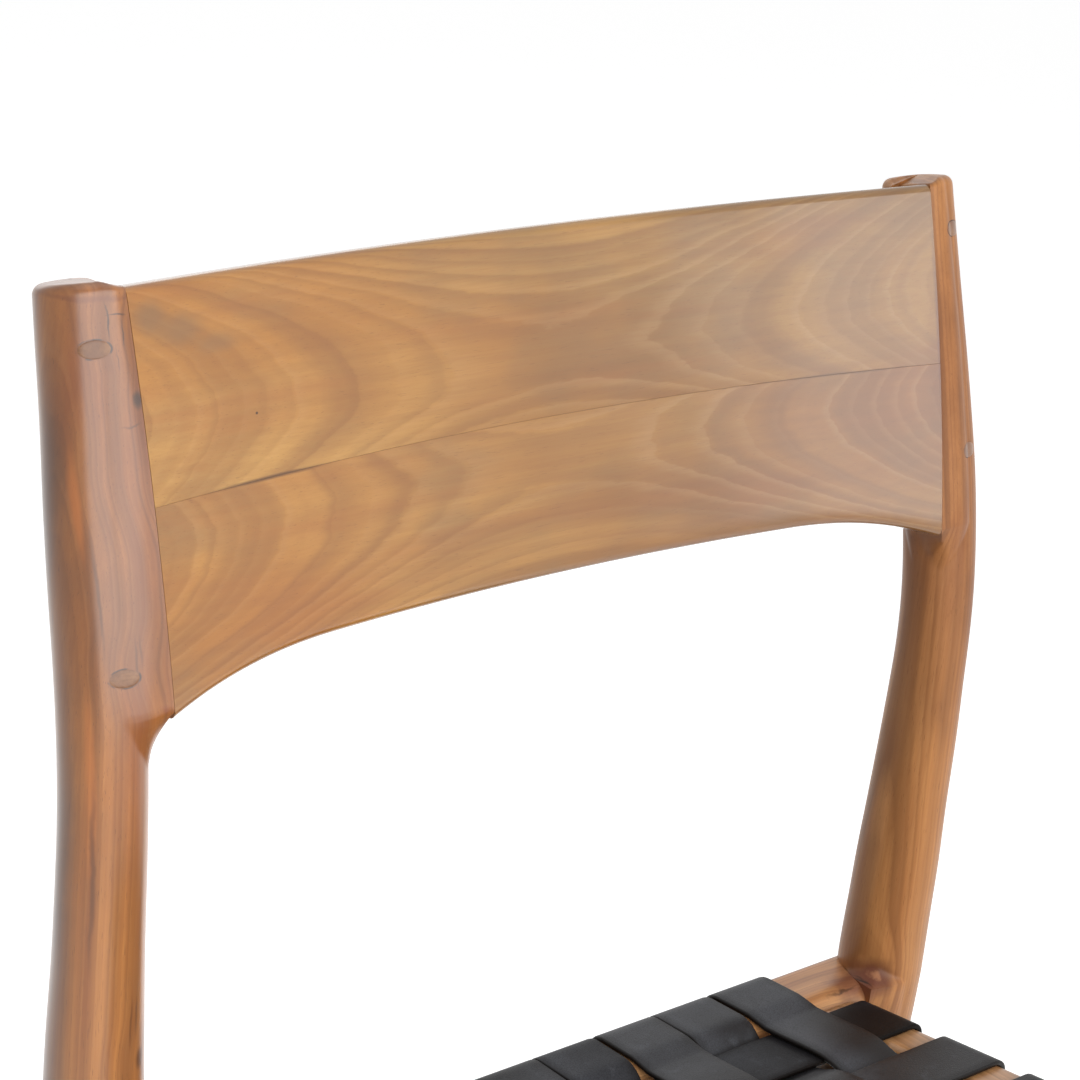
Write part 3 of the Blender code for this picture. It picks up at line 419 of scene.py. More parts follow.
@dataclass(frozen=True)
class PegHole:
    """The rim of a peg's hole, drawn thin and dark in the wood around it.

    Attributes:
        centre: The middle of the peg's end.
        right: The direction of its long half.
        up: The direction of its short half.
        half_width: Half its width.
        half_height: Half its height.
        colour: The rim's colour.
    """

    centre: Place
    right: Place
    up: Place
    half_width: float
    half_height: float
    colour: Tone = tone(66, 40, 26)

    def lay(self, graph: NodeGraph, colour: Value) -> Socket:
        """Draw the rim over a colour.

        Args:
            graph: The finish's nodes.
            colour: The wood's colour so far.

        Returns:
            The colour with the rim.
        """
        spot = graph.arrow("SUBTRACT", graph.here, self.centre)
        across = graph.sum("DIVIDE", graph.arrow("DOT_PRODUCT", spot, self.right), self.half_width)
        upward = graph.sum("DIVIDE", graph.arrow("DOT_PRODUCT", spot, self.up), self.half_height)
        square = graph.sum("ADD", graph.sum("POWER", across, 2.0), graph.sum("POWER", upward, 2.0))
        away = graph.sum("ABSOLUTE", graph.sum("SUBTRACT", graph.sum("SQRT", square), 1.03))
        patchy = graph.soft_step(graph.noise(graph.here, 190.0, 3.0), 0.42, 0.58, 0.10, 1.0)
        near = graph.soft_step(away, 0.05, 0.17, 1.0, 0.0)
        behind = graph.soft_step(graph.arrow("LENGTH", spot), 0.012, 0.016, 1.0, 0.0)
        return graph.blend(graph.product(near, patchy, behind), colour, self.colour)


@dataclass(frozen=True)
class TeakFinish:
    """Oiled teak whose growth rings run right through the piece.

    Attributes:
        name: The finish's name.
        pith: A point on the line that the growth rings lie around.
        axis: The way of that line, which the fibres follow.
        seed: A number that makes each piece of wood different.
        ring_width: The thickness of a year's growth.
        pale: The palest wood.
        honey: The usual colour.
        rust: The colour of its redder streaks.
        dark: The colour of the late growth in each ring.
        smoky: The colour of its greyish clouds.
        ring_depth: How strongly the dark lines show.
        ring_glow: How strongly the pale bands show.
        wander: How far the rings stray from true circles.
        marks: Stains, veins and cracks.
        knots: Places where the rings bulge.
        holes: Rims of peg holes.
        pale_from: The place across from which pale bands take over from dark lines.
        pores: How strongly the open pores show.
        shine: How strongly the wood's own face mirrors.
        lacquer: How much clear lacquer covers it.
        haze: How rough that lacquer is.
        bright: The colour of the pale lines.
        pore: The colour inside the open pores.
    """

    name: str
    pith: Place
    axis: Grain = Grain.ACROSS
    seed: float = 0.0
    ring_width: float = 0.0016
    pale: Tone = tone(204, 158, 100)
    honey: Tone = tone(183, 130, 72)
    rust: Tone = tone(166, 104, 52)
    dark: Tone = tone(128, 82, 44)
    smoky: Tone = tone(142, 112, 76)
    ring_depth: float = 0.34
    ring_glow: float = 0.22
    wander: float = 0.0022
    marks: tuple[Mark, ...] = ()
    knots: tuple[Knot, ...] = ()
    holes: tuple[PegHole, ...] = ()
    pale_from: float = 1.0
    pores: float = 0.25
    shine: float = 0.22
    lacquer: float = 1.0
    haze: float = 0.15
    bright: Tone = tone(228, 184, 130)
    pore: Tone = tone(98, 62, 40)

    def stretched(self, graph: NodeGraph, squeeze: float) -> Socket:
        """Squeeze the place along the fibres, so that noise read there turns into streaks.

        Args:
            graph: The finish's nodes.
            squeeze: The share that is left of a length along the fibres.

        Returns:
            The squeezed place, moved by the seed.
        """
        along = graph.arrow("DOT_PRODUCT", graph.here, self.axis.value)
        less = graph.arrow("SCALE", self.axis.value, graph.sum("MULTIPLY", along, squeeze - 1))
        moved = tuple(self.seed * shift for shift in SEED_SHIFT)
        return graph.arrow("ADD", graph.arrow("ADD", graph.here, less), moved)

    def figure(self, graph: NodeGraph, squeeze: float, swings: float, detail: float = 3.0,
               colour: bool = False) -> Socket:
        """Return noise that is drawn out along the fibres."""
        return graph.noise(self.stretched(graph, squeeze), swings, detail, colour)

    def rings(self, graph: NodeGraph) -> Socket:
        """Count the growth rings from the pith out to a place.

        Args:
            graph: The finish's nodes.

        Returns:
            The number of rings, with its fraction.
        """
        slow = self.figure(graph, 0.16, 13.0, 1.0, True)
        strayed = graph.stray(graph.here, slow, self.wander)
        fine = self.figure(graph, 0.10, 90.0)
        spot = graph.arrow("SUBTRACT", strayed, self.pith)
        radius = graph.arrow("LENGTH", graph.arrow("CROSS_PRODUCT", spot, self.axis.value))
        radius = graph.sum("MULTIPLY_ADD", fine, 0.8 * self.ring_width, radius)
        ripple = self.figure(graph, 0.5, 300.0, 1.0)
        radius = graph.sum("MULTIPLY_ADD", ripple, 0.16 * self.ring_width, radius)
        for knot in self.knots:
            away = graph.arrow("DISTANCE", graph.here, knot.centre)
            push = graph.soft_step(away, 0.0, knot.reach, knot.push, 0.0)
            radius = graph.sum("ADD", radius, push)
        return graph.sum("DIVIDE", radius, self.ring_width)

    def material(self) -> bpy.types.Material:
        """Make the finish's material.

        Returns:
            The material.
        """
        graph = NodeGraph(self.name)
        count = self.rings(graph)
        part = graph.sum("FRACT", count)
        year = graph.sum("ADD", graph.sum("FLOOR", count), self.seed)
        depth = graph.soft_step(graph.chance(year), 0.1, 1.0, 0.2, 1.0)
        glow = graph.soft_step(graph.chance(graph.sum("ADD", year, 0.37)), 0.2, 1.0, 0.1, 1.0)
        late = graph.sum("SUBTRACT", graph.soft_step(part, 0.45, 0.86),
                         graph.soft_step(part, 0.9, 1.0))
        early = graph.sum("SUBTRACT", graph.soft_step(part, 0.0, 0.08),
                          graph.soft_step(part, 0.1, 0.50))
        cloud = self.figure(graph, 0.35, 14.0, 2.0)
        band = self.figure(graph, 0.07, 60.0)
        streak = self.figure(graph, 0.030, 260.0)
        fibre = self.figure(graph, 0.022, 1300.0)
        pore = self.figure(graph, 0.045, 2900.0, 1.0)
        smoke = self.figure(graph, 0.6, 22.0)
        wide = graph.add("TexNoise", noise_dimensions="1D")
        graph.feed(wide.inputs["W"], graph.sum("MULTIPLY_ADD", count, 0.31, self.seed * 9.1))
        wide.inputs["Scale"].default_value = 1.0
        colour = graph.wash(self.honey, self.pale, cloud, 0.32, 0.70)
        colour = graph.wash(colour, self.dark, wide.outputs["Fac"], 0.42, 0.66, 0.0, 0.42)
        colour = graph.wash(colour, self.smoky, smoke, 0.46, 0.70, 0.0, 0.50)
        colour = graph.wash(colour, self.rust, band, 0.46, 0.76, 0.0, 0.60)
        across = graph.arrow("DOT_PRODUCT", graph.here, Grain.ACROSS.value)
        ends = (self.pale_from - 0.06, self.pale_from + 0.06)
        depth = graph.sum("MULTIPLY", depth, graph.soft_step(across, *ends, 1.0, 0.35))
        glow = graph.sum("MULTIPLY", glow, graph.soft_step(across, *ends, 0.3, 1.0))
        colour = graph.blend(graph.product(late, depth, self.ring_depth), colour, self.dark)
        colour = graph.blend(graph.product(early, glow, self.ring_glow), colour, self.bright)
        colour = graph.wash(colour, self.dark, streak, 0.28, 0.70, 0.20, 0.0)
        colour = graph.wash(colour, self.rust, fibre, 0.25, 0.75, 0.22, 0.0)
        open_pores = graph.soft_step(pore, 0.66, 0.74, 0.0, self.pores)
        colour = graph.blend(open_pores, colour, self.pore)
        for mark in (*self.marks, *self.holes):
            colour = mark.lay(graph, colour)
        rough = graph.sum("MULTIPLY_ADD", fibre, 0.10, 0.18)
        rough = graph.sum("MULTIPLY_ADD", smoke, 0.28, rough)
        graph.dress(colour, rough, {"Specular IOR Level": self.shine,
                                    "Coat Weight": self.lacquer, "Coat Roughness": self.haze})
        height = graph.sum("MULTIPLY_ADD", open_pores, -0.9, graph.sum("MULTIPLY", fibre, 0.5))
        graph.bump(height, 0.00010, 0.40)
        return graph.owner


@dataclass(frozen=True)
class EndGrainFinish:
    """Cross-cut teak with its pores showing as dots.

    Attributes:
        name: The finish's name.
        seed: A number that makes each piece different.
        base: The wood's colour.
        shade: The colour of its darker growth.
        pore: The colour inside its pores.
    """

    name: str
    seed: float
    base: Tone = tone(144, 100, 64)
    shade: Tone = tone(116, 76, 48)
    pore: Tone = tone(96, 64, 44)

    def material(self) -> bpy.types.Material:
        """Make the finish's material.

        Returns:
            The material.
        """
        graph = NodeGraph(self.name)
        place = graph.arrow("ADD", graph.here, (self.seed, 0.0, self.seed))
        cloud = graph.noise(place, 140.0, 3.0)
        flow = graph.noise(graph.arrow("MULTIPLY", place, (1.0, 1.0, 3.2)), 420.0, 3.0)
        dots = graph.noise(place, 2600.0, 1.0)
        colour = graph.wash(self.base, self.shade, cloud, 0.35, 0.68)
        colour = graph.wash(colour, self.shade, flow, 0.4, 0.7, 0.0, 0.5)
        open_pores = graph.soft_step(dots, 0.62, 0.70, 0.0, 0.4)
        colour = graph.blend(open_pores, colour, self.pore)
        graph.dress(colour, graph.sum("MULTIPLY_ADD", cloud, 0.15, 0.32),
                    {"Specular IOR Level": 0.2, "Coat Weight": 0.8, "Coat Roughness": 0.28})
        graph.bump(graph.sum("MULTIPLY_ADD", open_pores, -1.0, flow), 0.00008, 0.5)
        return graph.owner


@dataclass(frozen=True)
class LeatherFinish:
    """Smooth black strap leather with a soft sheen and burnished sides.

    Attributes:
        name: The finish's name.
        seed: A number that makes each strap different.
        face: The colour of its top.
        worn: The pale grey laid in broad clouds as painted sheen on its top, and in fine streaks
            where it is rubbed.
        side: The colour of its cut sides.
        oiled: The colour of the painted shade where it bends over the side rails, and of the
            painted shade and reflection of the posts at the two rear corners.
        shine: Its shader's specular level.
    """

    name: str
    seed: float
    face: Tone = tone(37, 36, 38)
    worn: Tone = tone(86, 88, 94)
    side: Tone = tone(18, 14, 12)
    oiled: Tone = tone(26, 19, 16)
    shine: float = 0.20

    def material(self) -> bpy.types.Material:
        """Make the finish's material.

        Returns:
            The material.
        """
        graph = NodeGraph(self.name)
        place = graph.arrow("ADD", graph.here, (self.seed, self.seed * 0.7, 0.0))
        across = graph.sum("ABSOLUTE", graph.arrow("DOT_PRODUCT", graph.here, Grain.ACROSS.value))
        cloud = graph.noise(place, 13.0, 3.0)
        rub = graph.noise(graph.arrow("MULTIPLY", place, (1.0, 1.0, 0.4)), 130.0, 4.0)
        cells = graph.add("TexVoronoi", feature="DISTANCE_TO_EDGE")
        warp = graph.arrow("SCALE", graph.noise(place, 800.0, 1.0, True), 0.0012)
        graph.feed(cells.inputs["Vector"], graph.arrow("ADD", place, warp))
        cells.inputs["Scale"].default_value = 780.0
        pebble = graph.soft_step(cells.outputs["Distance"], 0.0, 0.16)
        fine = graph.noise(place, 2600.0, 2.0)
        # The broad clouds of pale grey are painted sheen; the fine rubbed streaks are wear.
        colour = graph.wash(self.face, self.worn, cloud, 0.36, 0.66, 0.0, 0.65)
        colour = graph.wash(colour, self.worn, rub, 0.56, 0.78, 0.0, 0.4)
        colour = graph.wash(colour, self.side, pebble, 0.0, 1.0, 0.35, 0.0)
        # Painted shade where the straps bend over the side rails.
        colour = graph.wash(colour, self.oiled, across, 0.145, 0.180, 0.0, 0.15)
        # Painted shade and reflection of the posts, near black, at the two rear corners.
        aside = graph.arrow("ABSOLUTE", graph.here)
        aside = graph.arrow("SUBTRACT", aside, (0.172, 0.150, 0.432))
        aside = graph.arrow("MULTIPLY", aside, (1.0, 1.0, 0.0))
        corner = graph.soft_step(graph.arrow("LENGTH", aside), 0.018, 0.040, 0.9, 0.0)
        along = graph.arrow("DOT_PRODUCT", graph.here, Grain.LENGTHWISE.value)
        back = graph.soft_step(along, 0.0, 0.05)
        colour = graph.blend(graph.sum("MULTIPLY", corner, back), colour, self.oiled)
        colour = graph.blend(graph.attribute("cut_side"), colour, self.side)
        rough = graph.sum("MULTIPLY_ADD", cloud, 0.20, 0.27)
        rough = graph.sum("MULTIPLY_ADD", rub, 0.10, rough)
        graph.dress(colour, rough, {"Specular IOR Level": self.shine})
        relief = graph.sum("MULTIPLY_ADD", fine, 0.35, pebble)
        relief = graph.sum("MULTIPLY_ADD", graph.noise(place, 60.0, 2.0), 1.6, relief)
        graph.bump(relief, 0.00007, 0.45)
        return graph.owner


@dataclass(frozen=True)
class MetalFinish:
    """Dull zinc plate with small scratches.

    Attributes:
        name: The finish's name.
        bright: Its clean colour.
        dull: Its tarnished colour.
    """

    name: str
    bright: Tone = tone(196, 196, 192)
    dull: Tone = tone(138, 136, 130)

    def material(self) -> bpy.types.Material:
        """Make the finish's material.

        Returns:
            The material.
        """
        graph = NodeGraph(self.name)
        patch = graph.noise(graph.here, 520.0, 4.0)
        brushed = graph.arrow("MULTIPLY", graph.here, (1.0, 9.0, 1.0))
        scratch = graph.noise(brushed, 1800.0, 2.0)
        colour = graph.wash(self.bright, self.dull, patch, 0.36, 0.68)
        graph.dress(colour, graph.sum("MULTIPLY_ADD", patch, 0.25, 0.24), {"Metallic": 1.0})
        graph.bump(scratch, 0.00002, 0.4)
        return graph.owner


@dataclass(frozen=True)
class PlasticFinish:
    """Dark moulded plastic with a fine spark-eroded grain.

    Attributes:
        name: The finish's name.
        body: Its colour.
        scuffed: The colour where the floor has rubbed it.
    """

    name: str
    body: Tone = tone(62, 58, 55)
    scuffed: Tone = tone(96, 92, 88)

    def material(self) -> bpy.types.Material:
        """Make the finish's material.

        Returns:
            The material.
        """
        graph = NodeGraph(self.name)
        grain = graph.noise(graph.here, 2400.0, 2.0)
        scuff = graph.noise(graph.here, 260.0, 4.0)
        height = graph.add("SeparateXYZ")
        graph.feed(height.inputs[0], graph.here)
        low = graph.soft_step(height.outputs["Z"], 0.0, 0.0022, 1.0, 0.0)
        share = graph.sum("MULTIPLY", low, graph.soft_step(scuff, 0.42, 0.66))
        graph.dress(graph.blend(share, self.body, self.scuffed),
                    graph.sum("MULTIPLY_ADD", scuff, 0.2, 0.45), {})
        graph.bump(grain, 0.00005, 0.6)
        return graph.owner


def stand(name: str, data: bpy.types.ID) -> Piece:
    """Put an object into the scene.

    Args:
        name: Its name.
        data: Its mesh, light or camera.

    Returns:
        The object.
    """
    thing = bpy.data.objects.new(name, data)
    bpy.context.scene.collection.objects.link(thing)
    return thing


def new_piece(name: str, points: Sequence[Vector], faces: Sequence[Sequence[int]],
              material: bpy.types.Material, sharp: float = 40.0) -> Piece:
    """Make a piece that rides on the chair.

    Args:
        name: The piece's name.
        points: Its points, where they are on the chair.
        faces: Its faces, as numbers of points.
        material: Its finish.
        sharp: The angle in degrees from which an edge stays sharp.

    Returns:
        The piece.
    """
    mesh = bpy.data.meshes.new(name)
    mesh.from_pydata([tuple(point) for point in points], [], [tuple(face) for face in faces])
    mesh.validate()
    mesh.materials.append(material)
    mesh.shade_smooth()
    mesh.set_sharp_from_angle(angle=math.radians(sharp))
    piece = stand(name, mesh)
    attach(piece, BODY)
    return piece


def skin_faces(rings: int, count: int, turned: bool) -> Faces:
    """Number the faces of a skin over a row of closed rings, with both ends closed.

    Args:
        rings: How many rings there are.
        count: How many points each ring has.
        turned: Whether the rings run the other way round, so that faces must be turned.

    Returns:
        The faces, facing out.
    """
    faces = []
    for row in range(rings - 1):
        for index in range(count):
            after = (index + 1) % count
            low = row * count
            faces.append([low + index, low + after, low + count + after, low + count + index])
    faces.append(list(reversed(range(count))))
    faces.append(list(range((rings - 1) * count, rings * count)))
    return [face[::-1] for face in faces] if turned else faces


def skin_piece(name: str, rings: Sequence[Ring], material: bpy.types.Material,
               turned: bool = False, sharp: float = 40.0) -> Piece:
    """Skin a row of closed rings that all have the same number of points."""
    points = [point for ring in rings for point in ring]
    return new_piece(name, points, skin_faces(len(rings), len(rings[0]), turned), material,
                     sharp)


def tree_of(*pieces: Piece) -> BVHTree:
    """Gather pieces into one tree that rays can be sent against.

    Args:
        *pieces: The pieces, whose points are where they are on the chair.

    Returns:
        The tree.
    """
    points: Ring = []
    faces: Faces = []
    for piece in pieces:
        start = len(points)
        points += [vert.co.copy() for vert in piece.data.vertices]
        faces += [[start + index for index in face.vertices] for face in piece.data.polygons]
    return BVHTree.FromPolygons(points, faces)


def rounded_box(low: Pair, high: Pair, radii: Sequence[float], parts: tuple[int, int]) -> Run:
    """Outline a box with rounded corners.

    Args:
        low: Its lowest corner.
        high: Its highest corner.
        radii: The radius of the corners, from the lowest one on, anticlockwise.
        parts: How many steps each flat side has, and how many each corner.

    Returns:
        The outline's points, anticlockwise.
    """
    corners = ((low[0], low[1], 1, 1, 180), (high[0], low[1], -1, 1, 270),
               (high[0], high[1], -1, -1, 0), (low[0], high[1], 1, -1, 90))
    arcs = [arc((x + right * radius, y + up * radius), radius, start, start + 90, parts[1])
            for (x, y, right, up, start), radius in zip(corners, radii)]
    outline = []
    for corner, following in zip(arcs, arcs[1:] + arcs[:1]):
        outline += corner
        outline += [(mix(corner[-1][0], following[0][0], share),
                     mix(corner[-1][1], following[0][1], share))
                    for share in steps(0, 1, parts[0])[1:]]
    return outline


@dataclass(frozen=True)
class PostLine:
    """The run and the thickness of a back post and of the rear leg below it."""

    half_spacing: float = 0.2215
    along: float = 0.194
    seat_height: float = 0.432
    leg_bottom: float = 0.0043
    top_rise: float = 0.372
    lean_in: float = 0.0035
    bow: float = 0.0043
    bow_power: float = 1.6
    sweep: float = 0.0435
    bend_start: float = 0.152
    bend_end: float = 0.256
    seat_radius: float = 0.020
    waist_radius: float = 0.0163
    waist_rise: float = 0.185
    top_radius: float = 0.0150
    foot_radius: float = 0.0130
    rake: float = 0.058
    rake_power: float = 1.4

    def leg_share(self, rise: float) -> float:
        """Return how far down the leg a rise below the seat is."""
        return -rise / (self.seat_height - self.leg_bottom)

    def centre(self, rise: float) -> Pair:
        """Find the middle of the post or leg.

        Args:
            rise: The height above the top of the rear seat rail.

        Returns:
            Its place across and along, on the right side.
        """
        if rise < 0:
            back = self.rake * self.leg_share(rise) ** self.rake_power
            return self.half_spacing, self.along + back
        share = rise / self.top_rise
        bow = self.bow * (4 * share * max(0.0, 1 - share)) ** self.bow_power
        lean = self.sweep / (self.top_rise - (self.bend_start + self.bend_end) / 2)
        bent = share_between(rise, self.bend_start, self.bend_end)
        run = (self.bend_end - self.bend_start) * bent * bent / 2 + max(0.0, rise - self.bend_end)
        return self.half_spacing - self.lean_in * share + bow, self.along + lean * run

    def slope(self, rise: float) -> float:
        """Return how far the post runs back for each unit that it climbs."""
        return run_back(self.centre, rise)

    def radius(self, rise: float) -> float:
        """Find how thick the round part is.

        Args:
            rise: The height above the top of the rear seat rail.

        Returns:
            Its radius.
        """
        if rise < 0:
            return mix(self.seat_radius, self.foot_radius, self.leg_share(rise))
        if rise < self.waist_rise:
            return mix(self.seat_radius, self.waist_radius, ease(rise / self.waist_rise))
        share = share_between(rise, self.waist_rise, self.top_rise)
        return mix(self.waist_radius, self.top_radius, share ** 3)


@dataclass(frozen=True)
class RailCurve:
    """The curve, lean and outline of the back rail."""

    post: PostLine = PostLine()
    top: float = 0.3735
    bottom: float = 0.2235
    seam: float = 0.2985
    top_dip: float = 0.0025
    half_top: float = 0.2081
    half_bottom: float = 0.2042
    face_forward: float = 0.0121
    lean: float = 0.0393
    hollow: float = 0.0026
    sag: float = 0.018
    thickness: float = 0.0185
    edge_round: float = 0.0035
    arch_rise: float = 0.0125
    arch_run: float = 0.083
    arch_power: float = 2.2

    def joint(self, rise: float) -> Pair:
        """Find where the rail's front face meets the post.

        Args:
            rise: The height above the top of the rear seat rail.

        Returns:
            The place across and along, on the right side.
        """
        share = (rise - self.bottom) / (self.top - self.bottom)
        across = mix(self.half_bottom, self.half_top, share)
        along = self.post.along - self.face_forward + self.lean * share
        return across, along - 4 * self.hollow * share * (1 - share)

    def slope(self, rise: float) -> float:
        """Return how far the front face runs back for each unit that it climbs."""
        return run_back(self.joint, rise)

    def point(self, share: float, rise: float, depth: float) -> Vector:
        """Find a point of the rail.

        Args:
            share: Its share of the half length, negative on the left.
            rise: The height of the front face there.
            depth: How far it lies behind that face.

        Returns:
            The point.
        """
        across, along = self.joint(rise)
        along += self.sag * (1 - share * share)
        slope = self.slope(rise)
        back = depth / math.hypot(1.0, slope)
        height = self.post.seat_height + rise - back * slope
        return Vector((share * across, along + back, height))

    def low_edge(self, share: float) -> float:
        """Return the rise of the arched lower edge at a share of the half length."""
        from_end = share_between(self.half_bottom * (1 - abs(share)), 0.0, self.arch_run)
        return self.bottom + self.arch_rise * (1 - (1 - from_end) ** self.arch_power)

    def high_edge(self, share: float) -> float:
        """Return the rise of the top edge at a share of the half length."""
        return self.top - self.top_dip * (1 - share * share)


@dataclass(frozen=True)
class SeatPlan:
    """The places of the seat's rails and straps."""

    seat_height: float = PostLine.seat_height
    slope_rise: float = 0.023
    post_y: float = PostLine.along
    front_leg_y: float = -0.246
    front_leg_half: float = 0.2315
    front_leg_radius: float = 0.019
    rear_front: float = 0.179
    rear_back: float = 0.212
    front_front: float = -0.260
    front_back: float = -0.232
    side_drop: float = 0.006
    side_half_rear: float = 0.1920
    side_half_front: float = 0.2400
    side_thickness: float = 0.025
    rail_height: float = 0.042
    rail_round: float = 0.0045
    inner_round: float = 0.011
    strap_thickness: float = 0.0026
    clearance: float = 0.0003

    @property
    def slope(self) -> float:
        """How much the seat climbs for each unit towards the front."""
        return self.slope_rise / (self.post_y - self.front_leg_y)

    @property
    def splay(self) -> float:
        """How much each side rail spreads for each unit towards the front."""
        return (self.side_half_front - self.side_half_rear) / (self.post_y - self.front_leg_y)

    @property
    def front_height(self) -> float:
        """The height of the front rail's top."""
        return self.seat_height + self.slope_rise

    @property
    def strap_offset(self) -> float:
        """How far a strap's middle lies from the wood under it."""
        return self.clearance + self.strap_thickness / 2

    def top(self, y: float) -> float:
        """Return the height of the side rails' top at a place along the seat."""
        return self.seat_height - self.side_drop + self.slope * (self.post_y - y)

    def side_face(self, y: float) -> float:
        """Return how far a side rail's outer face is from the middle."""
        return self.side_half_rear + self.splay * (self.rear_front - y)


@dataclass
class BackPost:
    """One rear leg that runs up as the back post, with an ear that meets the back rail."""

    side: Side
    finish: TeakFinish
    line: PostLine = PostLine()
    rail: RailCurve = RailCurve()
    flare: float = 0.021
    lobe_reach: float = 0.029
    lobe_angle: float = math.radians(215)
    lobe_fade: float = 0.009
    seat_rail_height: float = SeatPlan.rail_height
    top_round: float = 0.004
    top_dome: float = 0.0007
    joint_drop: float = 0.0022
    joint_inset: float = 0.7
    joint_rounds: int = 3
    corner_ease: float = 0.02
    bulge: float = 0.0016
    bulge_full: float = 0.8
    hand: float = 0.0005
    hand_across: float = 45.0
    hand_upright: float = 24.0
    hand_start: float = 7.0
    outer_points: int = 92
    joint_points: int = 6
    near_points: int = 10
    ring_counts: tuple[int, ...] = (70, 12, 12, 12, 56, 20, 60)
    round_steps: int = 7
    foot_rings: tuple[Pair, ...] = ((0.90, 0.0), (0.95, 0.0003), (1.0, 0.0012))
    dome_shares: tuple[float, ...] = (0.93, 0.84, 0.70, 0.52, 0.32, 0.12)

    def joint_corners(self, rise: float) -> tuple[Vector, Vector]:
        """Find the front and back corners of the face that the rail's end butts on.

        Args:
            rise: The ring's rise.

        Returns:
            Both corners, measured from the ring's middle.
        """
        level = max(rise, self.rail.bottom)
        middle = Vector(self.line.centre(level))
        slope = self.line.slope(level)
        front_rise = level + slope * (middle.y - self.rail.joint(level)[1])
        front = Vector(self.rail.joint(front_rise)) - middle
        back_rise = front_rise
        for _ in range(self.joint_rounds):
            point = self.rail.point(1.0, back_rise, self.rail.thickness)
            wanted = self.line.seat_height + level - slope * (point.y - middle.y)
            back_rise += wanted - point.z
        back = Vector((point.x, point.y)) - middle
        shift = Vector((JOINT_GAP, 0.0))
        return front + shift, back + shift

    def lobe(self, rise: float) -> float:
        """Return the reach of the lobe that meets the corner of the seat frame."""
        outside = max(rise, -self.seat_rail_height - rise, 0.0)
        return mix(self.line.radius(rise), self.lobe_reach,
                   (1 - share_between(outside, 0.0, self.lobe_fade)) ** 3)

    def hull(self, radius: float, reach: float, turn: float) -> float:
        """Measure a circle drawn out to a tip.

        Args:
            radius: The circle's radius.
            reach: How far the tip is from the middle.
            turn: The angle from the tip's direction.

        Returns:
            The distance from the middle to the outline.
        """
        tangent = math.acos(min(1.0, radius / reach))
        off = abs(math.remainder(turn, math.tau))
        share = off / tangent if off < tangent else 1.0
        swell = self.bulge * min(1.0, tangent / self.bulge_full) * 4 * share * (1 - share)
        return radius / math.cos(max(0.0, tangent - off)) + swell

    def outline(self, rise: float) -> Ring:
        """Outline the post square to its run: a round back, two tangents and the joint face.

        Args:
            rise: The ring's rise.

        Returns:
            The points, measured from the ring's middle, on the right side, anticlockwise.
        """
        radius = self.line.radius(rise)
        front, back = self.joint_corners(rise)
        tip, tip_angle = front.length, math.atan2(front.y, front.x) % math.tau
        heel, heel_angle = back.length, math.atan2(back.y, back.x) % math.tau
        level = max(rise, self.rail.bottom)
        jointed = rise >= self.rail.bottom
        if not jointed:
            fade = 1 - share_between(self.rail.bottom - rise, 0.0, self.flare)
            base = self.line.radius(level)
            tip = radius + (tip - base) * fade * fade
            heel = radius + max(0.0, heel - base) * fade * fade
            turn = share_between(rise, 0.0, self.rail.bottom - self.flare)
            spread = tip_angle - heel_angle
            tip = max(tip, self.lobe(rise))
            tip_angle = mix(self.lobe_angle, tip_angle, turn)
            heel_angle = tip_angle - spread
        elif heel < radius:
            heel_angle = math.pi - math.asin(back.y / radius)
            heel = radius
        heel = max(heel, radius)

        def edge(angle: float) -> float:
            """Return the distance from the middle to the outline at an angle."""
            return max(self.hull(radius, tip, angle - tip_angle),
                       self.hull(radius, heel, angle - heel_angle))

        points = [Vector(on_circle(edge(angle), angle))
                  for angle in steps(tip_angle, heel_angle + math.tau, self.outer_points)]
        corner = Vector(on_circle(heel, heel_angle))
        if jointed:
            inner = back if back.length < radius else corner.lerp(front, self.corner_ease)
            points.append(corner)
            points += [inner.lerp(front, share) for share in steps(0, 1, self.joint_points)]
            return points
        front = Vector(on_circle(tip, tip_angle))
        for share in steps(0, 1, self.joint_points + 1):
            angle = mix(heel_angle, tip_angle, share)
            reach = max(edge(angle), corner.lerp(front, share).length)
            points.append(Vector(on_circle(reach, angle)))
        return points

    def ring(self, rise: float, inset: float = 0.0, lift: float = 0.0,
             shrink: float = 1.0) -> Ring:
        """Place an outline on the chair.

        Args:
            rise: The ring's rise.
            inset: How far the round part is drawn in.
            lift: How far the ring is raised along the post.
            shrink: The share of its size that is left, for the rings of the end.

        Returns:
            The ring's points.
        """
        across, along = self.line.centre(rise)
        slope = self.line.slope(rise)
        flat = self.outline(rise)
        middle = sum(flat, Vector((0.0, 0.0))) / len(flat)
        ring = []
        for index, point in enumerate(flat):
            near = min(index, len(flat) - 1 - index, abs(index - self.outer_points))
            away = ease(share_between(near, 0, self.near_points))
            if index >= self.outer_points:
                away = 0.0
            place = point * (1 - inset * mix(self.joint_inset, 1.0, away) / point.length)
            spot = Vector((place.x * self.hand_across, place.y * self.hand_across,
                           rise * self.hand_upright + self.hand_start * self.side.value))
            place *= 1 + self.hand * away * noise.noise(spot) / place.length
            place = middle + (place - middle) * shrink
            drop = self.joint_drop * (1 - away) * shrink * min(1.0, lift / self.top_round)
            up = lift - drop
            height = self.line.seat_height + rise - slope * place.y + up
            ring.append(Vector((self.side.value * (across + place.x),
                                along + place.y + slope * up, height)))
        return ring

    def rises(self) -> list[float]:
        """Space the rings, closer together where the shape changes.

        Returns:
            The rings' rises, from the foot up.
        """
        levels = (self.line.leg_bottom - self.line.seat_height,
                  -self.seat_rail_height - self.lobe_fade, -self.seat_rail_height, 0.0,
                  self.lobe_fade, self.rail.bottom - self.flare, self.rail.bottom,
                  self.line.top_rise - self.top_round)
        rises = []
        for low, high, count in zip(levels, levels[1:], self.ring_counts):
            rises += steps(low, high, count)
        return [*rises, levels[-1]]

